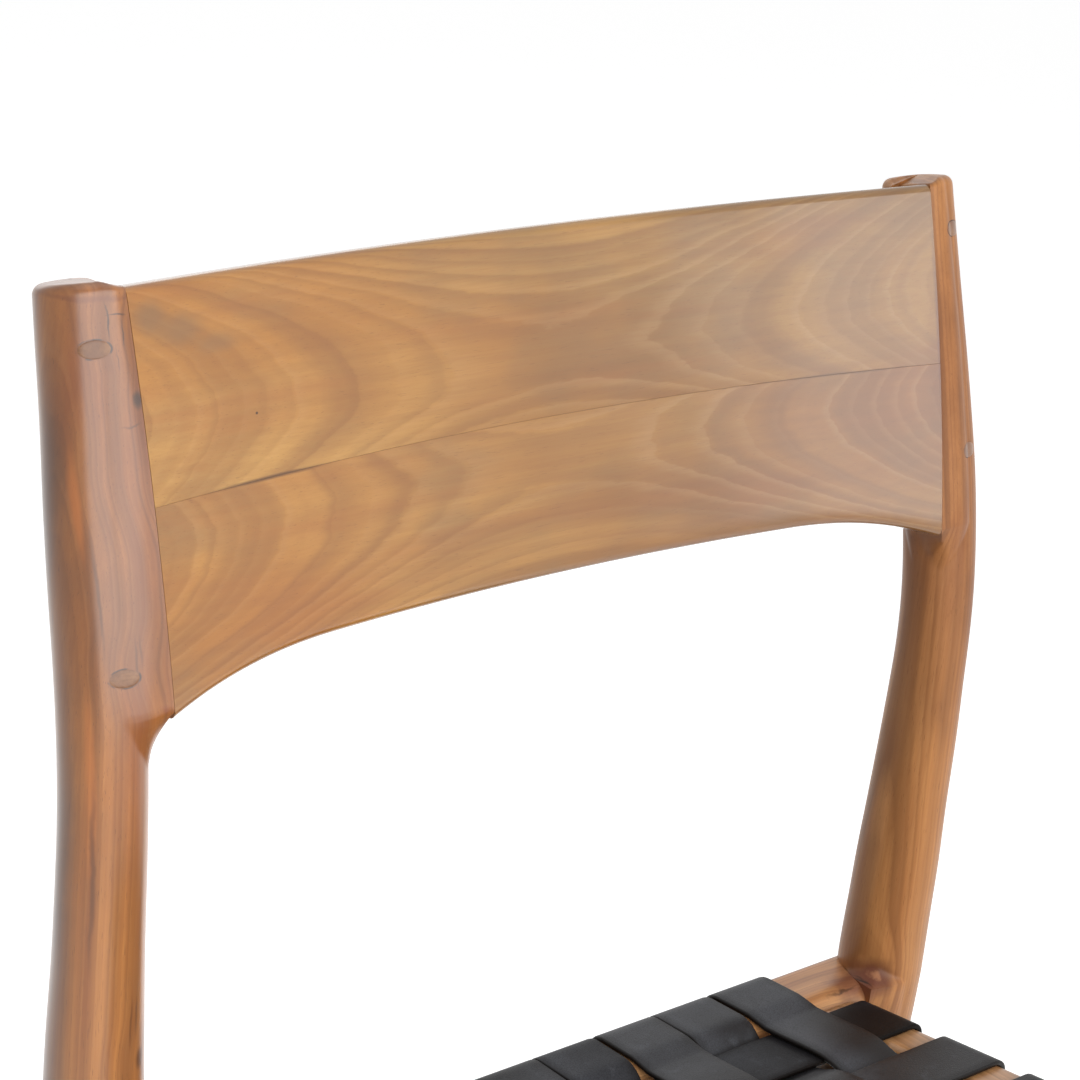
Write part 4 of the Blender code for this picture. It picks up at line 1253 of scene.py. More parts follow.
    def build(self) -> Piece:
        """Make the post.

        Returns:
            The post's piece.
        """
        rises = self.rises()
        rings = []
        for shrink, height in self.foot_rings:
            ring = self.ring(rises[0], shrink=shrink)
            for point in ring:
                point.z = self.line.leg_bottom + height
            rings.append(ring)
        rings += [self.ring(rise) for rise in rises[1:]]
        for turn in spaced(0.0, math.pi / 2, self.round_steps)[1:]:
            rings.append(self.ring(rises[-1], self.top_round * (1 - math.cos(turn)),
                                   self.top_round * math.sin(turn)))
        for shrink in self.dome_shares:
            lift = self.top_round + self.top_dome * (1 - shrink ** 2)
            rings.append(self.ring(rises[-1], self.top_round, lift, shrink))
        name = f"back_post_{self.side.label}"
        post = skin_piece(name, rings, self.finish.material(), self.side is Side.LEFT)
        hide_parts(f"rear_leg_{self.side.label}")
        return post


class BoardPlace(Enum):
    """The two boards of the back rail."""

    UPPER = "upper"
    LOWER = "lower"


@dataclass
class BackRailBoard:
    """One of the two bent boards that the back rail is glued up from."""

    place: BoardPlace
    finish: TeakFinish
    rail: RailCurve = RailCurve()
    seam_gap: float = 0.00003
    seam_ease: float = 0.00006
    hand: float = 0.00016
    hand_swings: Place = (5.0, 18.0, 20.0)
    hand_start: float = 3.0
    still_share: float = 0.1
    end_gap: float = 0.00008
    columns: int = 150
    parts: tuple[int, int] = (10, 6)

    def ring(self, share: float) -> Ring:
        """Outline the board at one place of its length.

        Args:
            share: The share of the half length, negative on the left.

        Returns:
            The outline.
        """
        if self.place is BoardPlace.UPPER:
            low, high = self.rail.seam + self.seam_gap, self.rail.high_edge(share)
            radii = (self.seam_ease, self.seam_ease, self.rail.edge_round, self.rail.edge_round)
        else:
            low, high = self.rail.low_edge(share), self.rail.seam - self.seam_gap
            radii = (self.rail.edge_round, self.rail.edge_round, self.seam_ease, self.seam_ease)
        flat = rounded_box((0.0, low), (self.rail.thickness, high), radii, self.parts)
        still = ease(share_between(1 - abs(share), 0.0, self.still_share))
        along, up, inward = self.hand_swings
        points = []
        for depth, rise in flat:
            wave = noise.noise(Vector((share * along, rise * up,
                                       depth * inward + self.hand_start)))
            points.append(self.rail.point(share, rise, depth + self.hand * still * wave))
        return points

    def build(self) -> Piece:
        """Make the board.

        Returns:
            The board's piece.
        """
        end = 1 - self.end_gap / self.rail.half_bottom
        name = f"bent_board_{self.place.value}"
        rings = [self.ring(share) for share in spaced(-end, end, self.columns)]
        board = skin_piece(name, rings, self.finish.material())
        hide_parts(f"back_rail_{self.place.value}_board")
        return board


@dataclass
class OvalPeg:
    """The oval end of a peg that shows in the front of a post."""

    side: Side
    level: BoardPlace
    rise: float
    outset: float
    line: PostLine = PostLine()
    width: float = 0.0107
    height: float = 0.0066
    proud: float = 0.00014
    depth: float = 0.0016
    points: int = 48
    dome_shares: tuple[float, ...] = (1.0, 1.0, 0.985, 0.95, 0.88, 0.72, 0.5, 0.25, 0.06)
    dome_power: int = 10
    seed_spread: float = 0.2

    def frame(self) -> Matrix:
        """Find where the peg's end is.

        Returns:
            The peg's own frame, with +Z out of the post.
        """
        across, along = self.line.centre(self.rise)
        slope = self.line.slope(self.rise)
        back = Vector((0.0, 1.0, -slope)).normalized()
        up = Vector((0.0, slope, 1.0)).normalized()
        start = Vector((self.side.value * (across + self.outset), along,
                        self.line.seat_height + self.rise)) - back * self.line.radius(self.rise)
        turn = Matrix((back.cross(up), up, -back)).transposed().to_4x4()
        turn.translation = start
        return turn

    def hole(self) -> PegHole:
        """Return the rim of the peg's hole, for the post's finish."""
        frame = self.frame()
        return PegHole(tuple(frame.translation), tuple(frame.col[0].to_3d()),
                       tuple(frame.col[1].to_3d()), self.width / 2, self.height / 2)

    def build(self, post: Piece) -> Piece:
        """Make the peg's end, shaped to the post's face.

        Args:
            post: The post that it sits in.

        Returns:
            The peg's piece.
        """
        frame = self.frame()
        out = frame.col[2].to_3d()
        tree = tree_of(post)
        rings = []
        for share in self.dome_shares:
            sunk = self.depth if not rings else -self.proud * (1 - share ** self.dome_power)
            ring = []
            for turn in steps(0.0, math.tau, self.points):
                spot = frame @ Vector((share * self.width / 2 * math.cos(turn),
                                       share * self.height / 2 * math.sin(turn), self.width))
                ring.append(tree.ray_cast(spot, -out)[0] - out * sunk)
            rings.append(ring)
        name = f"oval_peg_end_{self.level.value}_{self.side.label}"
        finish = EndGrainFinish(f"peg_end_{self.level.value}_{self.side.label}",
                                self.rise + self.side.value * self.seed_spread)
        peg = skin_piece(name, rings, finish.material())
        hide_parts(f"oval_peg_{self.level.value}_{self.side.label}")
        return peg


@dataclass
class FrontLeg:
    """One round front leg that tapers to its foot."""

    side: Side
    finish: TeakFinish
    plan: SeatPlan = SeatPlan()
    leg_bottom: float = PostLine.leg_bottom
    foot_radius: float = 0.0125
    foot_rings: tuple[Pair, ...] = ((0.0, 0.001), (0.0003, 0.0003))
    above_rail: float = 0.006
    top_round: float = 0.005
    top_dome: float = 0.0006
    swell_share: float = 0.72
    taper_start: float = 0.003
    taper_steps: int = 70
    straight_steps: int = 12
    round_steps: int = 8
    dome_shares: tuple[float, ...] = (0.8, 0.55, 0.3, 0.1)
    points: int = 72

    def circle(self, height: float, radius: float) -> Ring:
        """Return a ring of the leg at a height."""
        middle = (self.side.value * self.plan.front_leg_half, self.plan.front_leg_y)
        return [Vector((*on_circle(radius, turn, middle), height))
                for turn in steps(0.0, math.tau, self.points)]

    def build(self) -> Piece:
        """Make the leg.

        Returns:
            The leg's piece.
        """
        top = self.plan.front_height + self.above_rail
        swell = mix(self.leg_bottom, top, self.swell_share)
        full = self.plan.front_leg_radius
        straight = top - self.top_round
        rings = [self.circle(self.leg_bottom + height, self.foot_radius - inset)
                 for height, inset in self.foot_rings]
        for share in steps(self.taper_start, 1.0, self.taper_steps):
            radius = mix(self.foot_radius, full, math.sin(share * math.pi / 2))
            rings.append(self.circle(mix(self.leg_bottom, swell, share), radius))
        rings += [self.circle(height, full)
                  for height in steps(swell, straight, self.straight_steps)]
        for turn in spaced(0.0, math.pi / 2, self.round_steps):
            rings.append(self.circle(top - self.top_round * (1 - math.sin(turn)),
                                     full - self.top_round * (1 - math.cos(turn))))
        flat = full - self.top_round
        for share in self.dome_shares:
            rings.append(self.circle(top + self.top_dome * (1 - share ** 2), flat * share))
        name = f"front_leg_turned_{self.side.label}"
        leg = skin_piece(name, rings, self.finish.material())
        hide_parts(f"front_leg_{self.side.label}")
        return leg


class CrossRailPlace(Enum):
    """The two seat rails that run across the chair."""

    REAR = "rear"
    FRONT = "front"


@dataclass
class CrossRail:
    """A seat rail that runs across the chair and is scribed to the round legs."""

    place: CrossRailPlace
    finish: TeakFinish
    plan: SeatPlan = SeatPlan()
    stations: int = 90
    parts: tuple[int, int] = (10, 8)

    def build(self, legs: Sequence[Piece]) -> Piece:
        """Make the rail between its two legs.

        Args:
            legs: The two legs that it meets.

        Returns:
            The rail's piece.
        """
        plan = self.plan
        edge, inner = plan.rail_round, plan.inner_round
        if self.place is CrossRailPlace.REAR:
            low, high, top = plan.rear_front, plan.rear_back, plan.seat_height
            radii = (edge, edge, edge, inner)
        else:
            low, high, top = plan.front_front, plan.front_back, plan.front_height
            radii = (edge, edge, inner, edge)
        flat = rounded_box((low, top - plan.rail_height), (high, top), radii, self.parts)
        tree = tree_of(*legs)
        ends = []
        for y, z in flat:
            hit = tree.ray_cast(Vector((0.0, y, z)), Vector((1.0, 0.0, 0.0)))[0]
            ends.append(hit.x - JOINT_GAP if hit else plan.front_leg_half)
        rings = [[Vector((share * end, y, z)) for end, (y, z) in zip(ends, flat)]
                 for share in spaced(-1, 1, self.stations)]
        name = f"{self.place.value}_rail_shaped"
        rail = skin_piece(name, rings, self.finish.material())
        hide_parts(f"{self.place.value}_seat_rail")
        return rail


@dataclass
class SideRail:
    """A side seat rail, which splays and climbs towards the front."""

    side: Side
    finish: TeakFinish
    plan: SeatPlan = SeatPlan()
    stations: int = 90
    parts: tuple[int, int] = (8, 6)
    sight: float = 0.1

    def spot(self, inward: float, down: float, y: float) -> Vector:
        """Return a point from how far it lies inside the outer face and below the top."""
        across = self.plan.side_face(y) - inward
        return Vector((self.side.value * across, y, self.plan.top(y) - down))

    def build(self, meets: Sequence[Piece]) -> Piece:
        """Make the rail between the pieces that it meets.

        Args:
            meets: The legs and the cross rails.

        Returns:
            The rail's piece.
        """
        plan = self.plan
        flat = rounded_box((0.0, 0.0), (plan.side_thickness, plan.rail_height),
                           [plan.rail_round] * 4, self.parts)
        tree = tree_of(*meets)
        spans = []
        for inward, down in flat:
            middle = self.spot(inward, down, 0.0)
            forward = (self.spot(inward, down, -self.sight) - middle).normalized()
            rear = tree.ray_cast(middle, -forward)[0]
            front = tree.ray_cast(middle, forward)[0]
            spans.append((rear.y - JOINT_GAP if rear else plan.rear_front,
                          front.y + JOINT_GAP if front else plan.front_back))
        rings = [[self.spot(inward, down, mix(rear, front, share))
                  for (rear, front), (inward, down) in zip(spans, flat)]
                 for share in spaced(0, 1, self.stations)]
        name = f"side_rail_shaped_{self.side.label}"
        rail = skin_piece(name, rings, self.finish.material(), self.side is Side.LEFT)
        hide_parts(f"side_seat_rail_{self.side.label}")
        return rail


# The straps that get a duller copy of the leather, as painted shade where they lie in shadow,
# with their specular levels.
STRAP_SHINE = {"crosswise_strap_1": 0.06, "lengthwise_strap_5": 0.12, "lengthwise_strap_6": 0.08}


@dataclass
class WovenSeat:
    """The leather straps, woven one over and one under and wrapped round the rails."""

    plan: SeatPlan = SeatPlan()
    lengthwise_width: float = 0.0345
    crosswise_width: float = 0.0315
    lengthwise_count: int = 9
    crosswise_count: int = 9
    rear_pitch: float = 0.0353
    front_pitch: float = 0.0475
    rear_setback: float = 0.0195
    front_setback: float = 0.030
    tail_stop: float = 0.005
    lengthwise_wave: float = 0.00272
    crosswise_wave: float = 0.0003
    under_turn: float = 48.0
    over_turn: float = 12.0
    side_round: float = 0.0010
    crown: float = 0.00025
    sway: float = 0.0006
    sway_pace: float = 0.021
    sway_start: float = 2.3
    lengthwise_seeds: Pair = (0.4, 1.37)
    crosswise_seeds: Pair = (20.3, 1.91)
    side_blend: float = 0.0012
    weave_play: float = 0.0012
    wave_fade: Pair = (0.012, 0.045)
    station_gap: float = 0.0021
    relax_front: float = 0.004
    relax_rear: float = 0.002
    relax_rounds: int = 14
    tail_steps: int = 5
    bend_steps: int = 7
    face_steps: int = 14
    dip_steps: int = 8
    climb_steps: int = 9
    crest_steps: int = 10
    crosswise_steps: int = 230
    parts: tuple[int, int] = (7, 3)
    sharp: float = 60.0

    def crosswise_middle(self, number: int) -> float:
        """Return the place along the seat of a crosswise strap's middle, from the rear."""
        return mix(self.plan.rear_front - self.rear_setback,
                   self.plan.front_back + self.front_setback, number / (self.crosswise_count - 1))

    def pitch(self, y: float) -> float:
        """Return how far apart the lengthwise straps are at a place along the seat."""
        share = share_between(y, self.plan.rear_back, self.plan.front_front)
        return mix(self.rear_pitch, self.front_pitch, share)

    def lengthwise_middle(self, number: int, y: float) -> float:
        """Return how far across a lengthwise strap's middle is at a place along the seat."""
        return (number - (self.lengthwise_count - 1) / 2) * self.pitch(y)

    def wrap(self, outer: float, inner: float, top: float) -> Run:
        """Lead a strap from its tail under a rail, round the outer face, to the rail's top.

        Args:
            outer: The rail's outer face, with outwards as positive.
            inner: The rail's inner face.
            top: The rail's top.

        Returns:
            The run, as places across the rail and heights.
        """
        plan = self.plan
        bottom = top - plan.rail_height
        edge = outer - plan.rail_round
        low, high = bottom + plan.rail_round, top - plan.rail_round
        radius = plan.rail_round + plan.strap_offset
        tail = inner + self.tail_stop
        run = [(x, bottom - plan.strap_offset) for x in steps(tail, edge, self.tail_steps)]
        run += arc((edge, low), radius, -90, 0, self.bend_steps)
        run += [(outer + plan.strap_offset, z) for z in steps(low, high, self.face_steps)[1:]]
        return run + arc((edge, high), radius, 0, 90, self.bend_steps)

    def dip(self, edge: float, inward: int, top: float, under: bool) -> Run:
        """Lead a lengthwise strap over a cross rail's inner edge towards the seat.

        Args:
            edge: The rail's inner face.
            inward: The sign of the way to the seat.
            top: The rail's top.
            under: Whether the strap goes under the first crosswise one.

        Returns:
            The run.
        """
        plan = self.plan
        middle = (edge - inward * plan.inner_round, top - plan.inner_round)
        turn = self.under_turn if under else self.over_turn
        return arc(middle, plan.inner_round + plan.strap_offset, 90, 90 - inward * turn,
                   self.dip_steps)

    def weave(self, number: int) -> Run:
        """Lead a lengthwise strap over and under the crosswise ones.

        Args:
            number: The strap's number from the left, from 0.

        Returns:
            The run from the rear to the front.
        """
        run = []
        reach = self.crosswise_width / 2 + self.weave_play
        for cross in range(self.crosswise_count):
            middle = self.crosswise_middle(cross)
            lift = self.lengthwise_wave * (1 if (number + cross) % 2 == 0 else -1)
            if cross:
                before = run[-1][0]
                for share in steps(0, 1, self.climb_steps)[1:]:
                    y = mix(before, middle + reach, share)
                    height = mix(-lift, lift, ease(share))
                    run.append((y, self.plan.top(y) + self.plan.strap_offset + height))
            crest = steps(middle + reach, middle - reach, self.crest_steps)
            for y in [*crest, middle - reach]:
                swell = self.crown * math.cos(math.pi * (y - middle) / (2 * reach))
                height = lift + (swell if lift > 0 else -swell)
                run.append((y, self.plan.top(y) + self.plan.strap_offset + height))
        return run

    @staticmethod
    def resample(run: Run, spacing: float) -> Run:
        """Space a run's points evenly.

        Args:
            run: The run.
            spacing: The wanted distance between points.

        Returns:
            The new run, with the same two ends.
        """
        lengths = [0.0]
        for first, last in zip(run, run[1:]):
            lengths.append(lengths[-1] + math.dist(first, last))
        count = max(2, round(lengths[-1] / spacing))
        result = []
        index = 0
        for step in range(count + 1):
            goal = lengths[-1] * step / count
            while index < len(run) - 2 and lengths[index + 1] < goal:
                index += 1
            span = lengths[index + 1] - lengths[index]
            share = (goal - lengths[index]) / span if span > 0 else 0.0
            result.append((mix(run[index][0], run[index + 1][0], share),
                           mix(run[index][1], run[index + 1][1], share)))
        return result

    @staticmethod
    def relax(run: Run, low: float, high: float, rounds: int) -> Run:
        """Smooth a run where it crosses the open seat.

        Args:
            run: The run.
            low: The place along the seat where the smoothing starts.
            high: The place where it ends.
            rounds: How many times it is smoothed.

        Returns:
            The smoothed run.
        """
        points = list(run)
        for _ in range(rounds):
            fresh = list(points)
            for index in range(1, len(points) - 1):
                y, z = points[index]
                if low < y < high:
                    around = (points[index - 1][1] + points[index + 1][1]) / 2
                    fresh[index] = (y, mix(z, around, 0.5))
            points = fresh
        return points

    def section(self, width: float) -> Run:
        """Return a strap's cross-section, as places across it and heights above its middle."""
        half = self.plan.strap_thickness / 2
        return rounded_box((-width / 2, -half), (width / 2, half), [self.side_round] * 4,
                           self.parts)

    def ribbon(self, name: str, stations: int, spot: Callable[[int, float], Vector],
               out: Callable[[int], Vector], width: float, seed: float) -> Piece:
        """Skin a strap along its run.

        Args:
            name: The name of the piece and of the node that it replaces.
            stations: How many stations its run has.
            spot: Gives the strap's middle layer from a station and a place across it.
            out: Gives the direction out of the strap's face at a station.
            width: The strap's width.
            seed: A number that makes its leather different.

        Returns:
            The strap's piece.
        """
        flat = self.section(width)
        rings = []
        for index in range(stations):
            aside = self.sway * math.sin(index * self.sway_pace + seed * self.sway_start)
            face = out(index)
            rings.append([spot(index, across + aside) + face * height for across, height in flat])
        finish = LeatherFinish(f"strap_leather_{name}", seed,
                               shine=STRAP_SHINE.get(name, LeatherFinish.shine))
        strap = skin_piece(f"{name}_leather", rings, finish.material(),
                           sharp=self.sharp)
        layer = strap.data.attributes.new("cut_side", "FLOAT", "POINT")
        limit = width / 2 - self.side_round - self.side_blend
        sides = [ease(share_between(abs(across), limit, width / 2)) for across, _ in flat]
        layer.data.foreach_set("value", sides * len(rings))
        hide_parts(name)
        return strap

    @staticmethod
    def normals(run: Run) -> Run:
        """Find the directions square to a run.

        Args:
            run: The run.

        Returns:
            The direction at each of its points.
        """
        result = []
        for index in range(len(run)):
            first, last = run[max(0, index - 1)], run[min(len(run) - 1, index + 1)]
            length = max(1e-9, math.dist(first, last))
            result.append(((last[1] - first[1]) / length, -(last[0] - first[0]) / length))
        return result

    def lengthwise(self, number: int) -> Piece:
        """Make a strap that runs from the rear rail to the front one.

        Args:
            number: Its number from the left, from 0.

        Returns:
            The strap's piece.
        """
        plan = self.plan
        run = self.wrap(plan.rear_back, plan.rear_front, plan.seat_height)
        run += self.dip(plan.rear_front, -1, plan.seat_height, number % 2 == 1)
        run += self.weave(number)
        front_under = (number + self.crosswise_count - 1) % 2 == 1
        run += self.dip(plan.front_back, 1, plan.front_height, front_under)[::-1]
        front = self.wrap(-plan.front_front, -plan.front_back, plan.front_height)
        run += [(-y, z) for y, z in front[::-1]]
        run = self.relax(self.resample(run, self.station_gap), plan.front_back + self.relax_front,
                         plan.rear_front - self.relax_rear, self.relax_rounds)
        normals = self.normals(run)

        def spot(index: int, across: float) -> Vector:
            """Return a point of the strap's middle layer."""
            y, z = run[index]
            return Vector((self.lengthwise_middle(number, y) + across, y, z))

        def out(index: int) -> Vector:
            """Return the direction out of the strap's face."""
            along, up = normals[index]
            return Vector((0.0, along, up))

        start, step = self.lengthwise_seeds
        return self.ribbon(f"lengthwise_strap_{number + 1}", len(run), spot, out,
                           self.lengthwise_width, start + step * number)

    def seat_run(self, number: int, y: float) -> Run:
        """Lead a crosswise strap from under one side rail over the seat to under the other.

        Args:
            number: Its number from the rear, from 0.
            y: The place along the seat at which the run is wanted.

        Returns:
            The run from the left to the right.
        """
        plan = self.plan
        outer, top = plan.side_face(y), plan.top(y)
        half = self.wrap(outer, outer - plan.side_thickness, top)
        edge = outer - plan.rail_round
        wave = self.crosswise_wave * (-1 if number % 2 == 0 else 1)
        pitch = self.pitch(self.crosswise_middle(number))
        run = [(-x, z) for x, z in half]
        for share in steps(0, 1, self.crosswise_steps)[1:]:
            x = mix(-edge, edge, share)
            fade = ease(share_between(edge - abs(x), *self.wave_fade))
            run.append((x, top + plan.strap_offset + wave * math.cos(math.pi * x / pitch) * fade))
        return run + half[::-1]

    def crosswise(self, number: int) -> Piece:
        """Make a strap that runs from side rail to side rail.

        Args:
            number: Its number from the rear, from 0.

        Returns:
            The strap's piece.
        """
        middle = self.crosswise_middle(number)
        half_width = self.crosswise_width / 2
        normals = self.normals(self.seat_run(number, middle))
        front_run = self.seat_run(number, middle - half_width)
        rear_run = self.seat_run(number, middle + half_width)

        def spot(index: int, across: float) -> Vector:
            """Return a point of the strap's middle layer."""
            x, z = (mix(first, last, across / self.crosswise_width + 0.5)
                    for first, last in zip(front_run[index], rear_run[index]))
            return Vector((x, middle + across, z))

        def out(index: int) -> Vector:
            """Return the direction out of the strap's face."""
            aside, up = normals[index]
            return Vector((-aside, 0.0, -up))

        start, step = self.crosswise_seeds
        return self.ribbon(f"crosswise_strap_{number + 1}", len(normals), spot, out,
                           self.crosswise_width, start + step * number)

    def build(self) -> list[Piece]:
        """Make every strap and return the pieces."""
        return ([self.lengthwise(number) for number in range(self.lengthwise_count)]
                + [self.crosswise(number) for number in range(self.crosswise_count)])


@dataclass
class Fixings:
    """The tacks, the block screws and the foot glides."""

    seat: WovenSeat
    plan: SeatPlan = SeatPlan()
    line: PostLine = PostLine()
    tack_radius: float = 0.0042
    tack_height: float = 0.0016
    tack_inset: float = 0.0075
    tack_aside: float = 0.25
    tack_turns: tuple[float, ...] = (0.12, 0.45, 0.8, 1.15, math.pi / 2)
    tack_foot: Pair = (0.9, -0.0001)
    tack_sides: int = 16
    screw_radius: float = 0.0020
    head_radius: float = 0.0040
    head_height: float = 0.0030
    head_depth: float = 0.010
    screw_bite: float = 0.012
    screw_offset: float = 0.026
    screw_sides: int = 32
    tip_radius: float = 0.0002
    head_shares: tuple[float, ...] = (0.03, 0.15, 0.3, 0.45, 0.6, 0.75, 0.88, 0.97)
    recess_rings: int = 6
    recess_width: float = 0.17
    recess_reach: float = 0.62
    recess_depth: float = 0.0013
    thread_count: int = 14
    thread_start: float = 0.003
    thread_pitch: float = 0.00115
    thread_rise: float = 0.0006
    thread_root: float = 0.72
    block_thickness: float = 0.022
    block_drop: float = 0.012
    glide_height: float = 0.004
    glide_inset: float = 0.0025
    stem_radius: float = 0.003
    stem_length: float = 0.012
    glide_edge: float = 0.0004
    glide_round: float = 0.0012
    glide_turns: tuple[float, ...] = (0.0, 0.4, 0.8, 1.2, math.pi / 2)
    glide_sides: int = 40

    @staticmethod
    def turned(profile: Run, sides: int, frame: Matrix) -> tuple[Ring, Faces]:
        """Turn a profile round its axis.

        Args:
            profile: Radii and heights, from the top down its outer side.
            sides: How many sides it has.
            frame: Where it goes, with its axis along +Z.

        Returns:
            The points and the faces.
        """
        points = []
        for radius, height in profile:
            for turn in steps(0.0, math.tau, sides):
                points.append(frame @ Vector((*on_circle(radius, turn), height)))
        return points, skin_faces(len(profile), sides, True)

    def tack_rows(self) -> dict[str, Ring]:
        """Find the tacks under each rail.

        Returns:
            The places of the tacks' undersides by the rail's name.
        """
        seat, plan = self.seat, self.plan
        rows: dict[str, Ring] = {"rear": [], "front": [], "left": [], "right": []}
        inset = seat.tail_stop + self.tack_inset
        under = plan.rail_height + plan.strap_offset + plan.strap_thickness / 2
        asides = (-self.tack_aside, self.tack_aside)
        for number in range(seat.lengthwise_count):
            for rail, y, top in (("rear", plan.rear_front + inset, plan.seat_height),
                                 ("front", plan.front_back - inset, plan.front_height)):
                for aside in asides:
                    x = seat.lengthwise_middle(number, y) + aside * seat.lengthwise_width
                    rows[rail].append(Vector((x, y, top - under)))
        for number in range(seat.crosswise_count):
            for aside in asides:
                y = seat.crosswise_middle(number) + aside * seat.crosswise_width
                x = plan.side_face(y) - plan.side_thickness + inset
                height = plan.top(y) - under
                rows["left"].append(Vector((-x, y, height)))
                rows["right"].append(Vector((x, y, height)))
        return rows

    def build_tacks(self, material: bpy.types.Material) -> list[Piece]:
        """Make the domed tacks that hold the straps' tails.

        Args:
            material: Their finish.

        Returns:
            One piece for each rail.
        """
        profile = [(self.tack_radius * math.sin(turn), self.tack_height * math.cos(turn))
                   for turn in self.tack_turns]
        profile += [(self.tack_radius * self.tack_foot[0], self.tack_foot[1])]
        down = Matrix.Rotation(math.pi, 4, "X")
        pieces = []
        for rail, places in self.tack_rows().items():
            points: Ring = []
            faces: Faces = []
            for place in places:
                frame = Matrix.Translation(place) @ down
                more, skin = self.turned(profile, self.tack_sides, frame)
                faces += [[len(points) + index for index in face] for face in skin]
                points += more
            pieces.append(new_piece(f"strap_tacks_{rail}", points, faces, material))
        return pieces

    def screw_frame(self, end: CrossRailPlace, side: Side, across: bool) -> Matrix:
        """Find where a block screw goes.

        Args:
            end: The end of the seat.
            side: The side of the chair.
            across: Whether it bites the cross rail, not the side rail.

        Returns:
            Its frame, with +Z out of the rail.
        """
        plan = self.plan
        rear = end is CrossRailPlace.REAR
        y = plan.rear_front - plan.clearance if rear else plan.front_back + plan.clearance
        inward = -1 if rear else 1
        x = plan.side_face(y) - plan.side_thickness - plan.clearance
        height = plan.top(y) - self.block_drop - self.block_thickness / 2
        if across:
            out = Vector((0.0, inward, 0.0))
            seat = Vector((side.value * (x - self.screw_offset), y, height))
        else:
            out = Vector((-side.value, 0.0, 0.0))
            place = y + inward * self.screw_offset
            seat = Vector((side.value * (x - plan.splay * (place - y)), place, height))
        turn = out.to_track_quat("Z", "Y").to_matrix().to_4x4()
        turn.translation = seat
        return turn

    def build_screw(self, name: str, frame: Matrix, material: bpy.types.Material) -> Piece:
        """Make a block screw with a cross recess in its domed head.

        Args:
            name: The name of the node that it replaces.
            frame: Where it goes, with +Z out of the rail.
            material: Its finish.

        Returns:
            The screw's piece.
        """
        head = self.head_depth
        profile = [(share * self.head_radius, head + self.head_height * math.sqrt(1 - share ** 2))
                   for share in self.head_shares]
        profile += [(self.head_radius, head), (self.screw_radius, head)]
        for turn in range(self.thread_count):
            z = head - self.thread_start - turn * self.thread_pitch
            profile += [(self.screw_radius, z),
                        (self.screw_radius * self.thread_root, z - self.thread_rise)]
        profile += [(self.tip_radius, -self.screw_bite)]
        points, faces = self.turned(profile, self.screw_sides, frame)
        back = frame.inverted()
        for index, point in enumerate(points[:self.screw_sides * self.recess_rings]):
            spot = back @ point
            inside = min(abs(spot.x), abs(spot.y)) < self.recess_width * self.head_radius
            if inside and spot.xy.length < self.recess_reach * self.head_radius:
                points[index] = frame @ (spot - Vector((0.0, 0.0, self.recess_depth)))
        screw = new_piece(f"{name}_threaded", points, faces, material, 30.0)
        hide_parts(name)
        return screw

    def build_glide(self, foot: str, across: float, along: float, radius: float,
                    material: bpy.types.Material) -> Piece:
        """Make the glide under a foot.

        Args:
            foot: The foot's name.
            across: Its place across.
            along: Its place along.
            radius: The foot's radius.
            material: The glide's finish.

        Returns:
            The glide's piece.
        """
        outer, edge, bend = radius - self.glide_inset, self.glide_edge, self.glide_round
        top = self.glide_height
        profile = [(edge, top + self.stem_length), (self.stem_radius, top + self.stem_length),
                   (self.stem_radius, top), (outer - edge, top), (outer, top - edge)]
        profile += [(outer - bend + bend * math.cos(turn), bend - bend * math.sin(turn))
                    for turn in self.glide_turns]
        profile += [(outer * 0.5, 0.0), (edge, 0.0)]
        points, faces = self.turned(profile, self.glide_sides,
                                    Matrix.Translation((across, along, 0.0)))
        glide = new_piece(f"foot_glide_moulded_{foot}", points, faces, material)
        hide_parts(f"foot_glide_{foot}")
        return glide

    def build(self) -> list[Piece]:
        """Make every fixing.

        Returns:
            The pieces.
        """
        zinc = MetalFinish("dull_zinc").material()
        plastic = PlasticFinish("dark_glide_plastic").material()
        pieces = self.build_tacks(zinc)
        for end in CrossRailPlace:
            for side in Side:
                for rail in ("cross", "side"):
                    name = f"block_screw_{end.value}_{side.label}_{rail}"
                    frame = self.screw_frame(end, side, rail == "cross")
                    pieces.append(self.build_screw(name, frame, zinc))
        line, plan = self.line, self.plan
        rear = (*line.centre(line.leg_bottom - line.seat_height), line.foot_radius)
        front = (plan.front_leg_half, plan.front_leg_y, FrontLeg.foot_radius)
        for side in Side:
            for end, (across, along, radius) in (("rear", rear), ("front", front)):
                pieces.append(self.build_glide(f"{end}_{side.label}", side.value * across, along,
                                               radius, plastic))
        return pieces


@dataclass
class CornerBlocks:
    """The plain blocks inside the seat frame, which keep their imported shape."""

    finish: TeakFinish

    def dress(self, nodes: dict[str, Piece]) -> list[Piece]:
        """Give every block its finish.

        Args:
            nodes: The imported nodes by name.

        Returns:
            The blocks.
        """
        material = self.finish.material()
        blocks = [node for name, node in nodes.items() if name.startswith("corner_block")]
        for block in blocks:
            for slot in block.material_slots:
                slot.material = material
        return blocks


@dataclass(frozen=True)
class SoftBox:
    """A lamp with a wide face that hangs at its place and points at its goal."""

    name: str
    place: Place
    goal: Place
    size: Pair
    watts: float

    def hang(self) -> None:
        """Hang the lamp."""
        data = bpy.data.lights.new(self.name, "AREA")
        data.shape = "RECTANGLE"
        data.size, data.size_y = self.size
        data.energy = self.watts
        way = Vector(self.goal) - Vector(self.place)
        turn = way.to_track_quat("-Z", "Y").to_matrix().to_4x4()
        stand(self.name, data).matrix_world = Matrix.Translation(self.place) @ turn


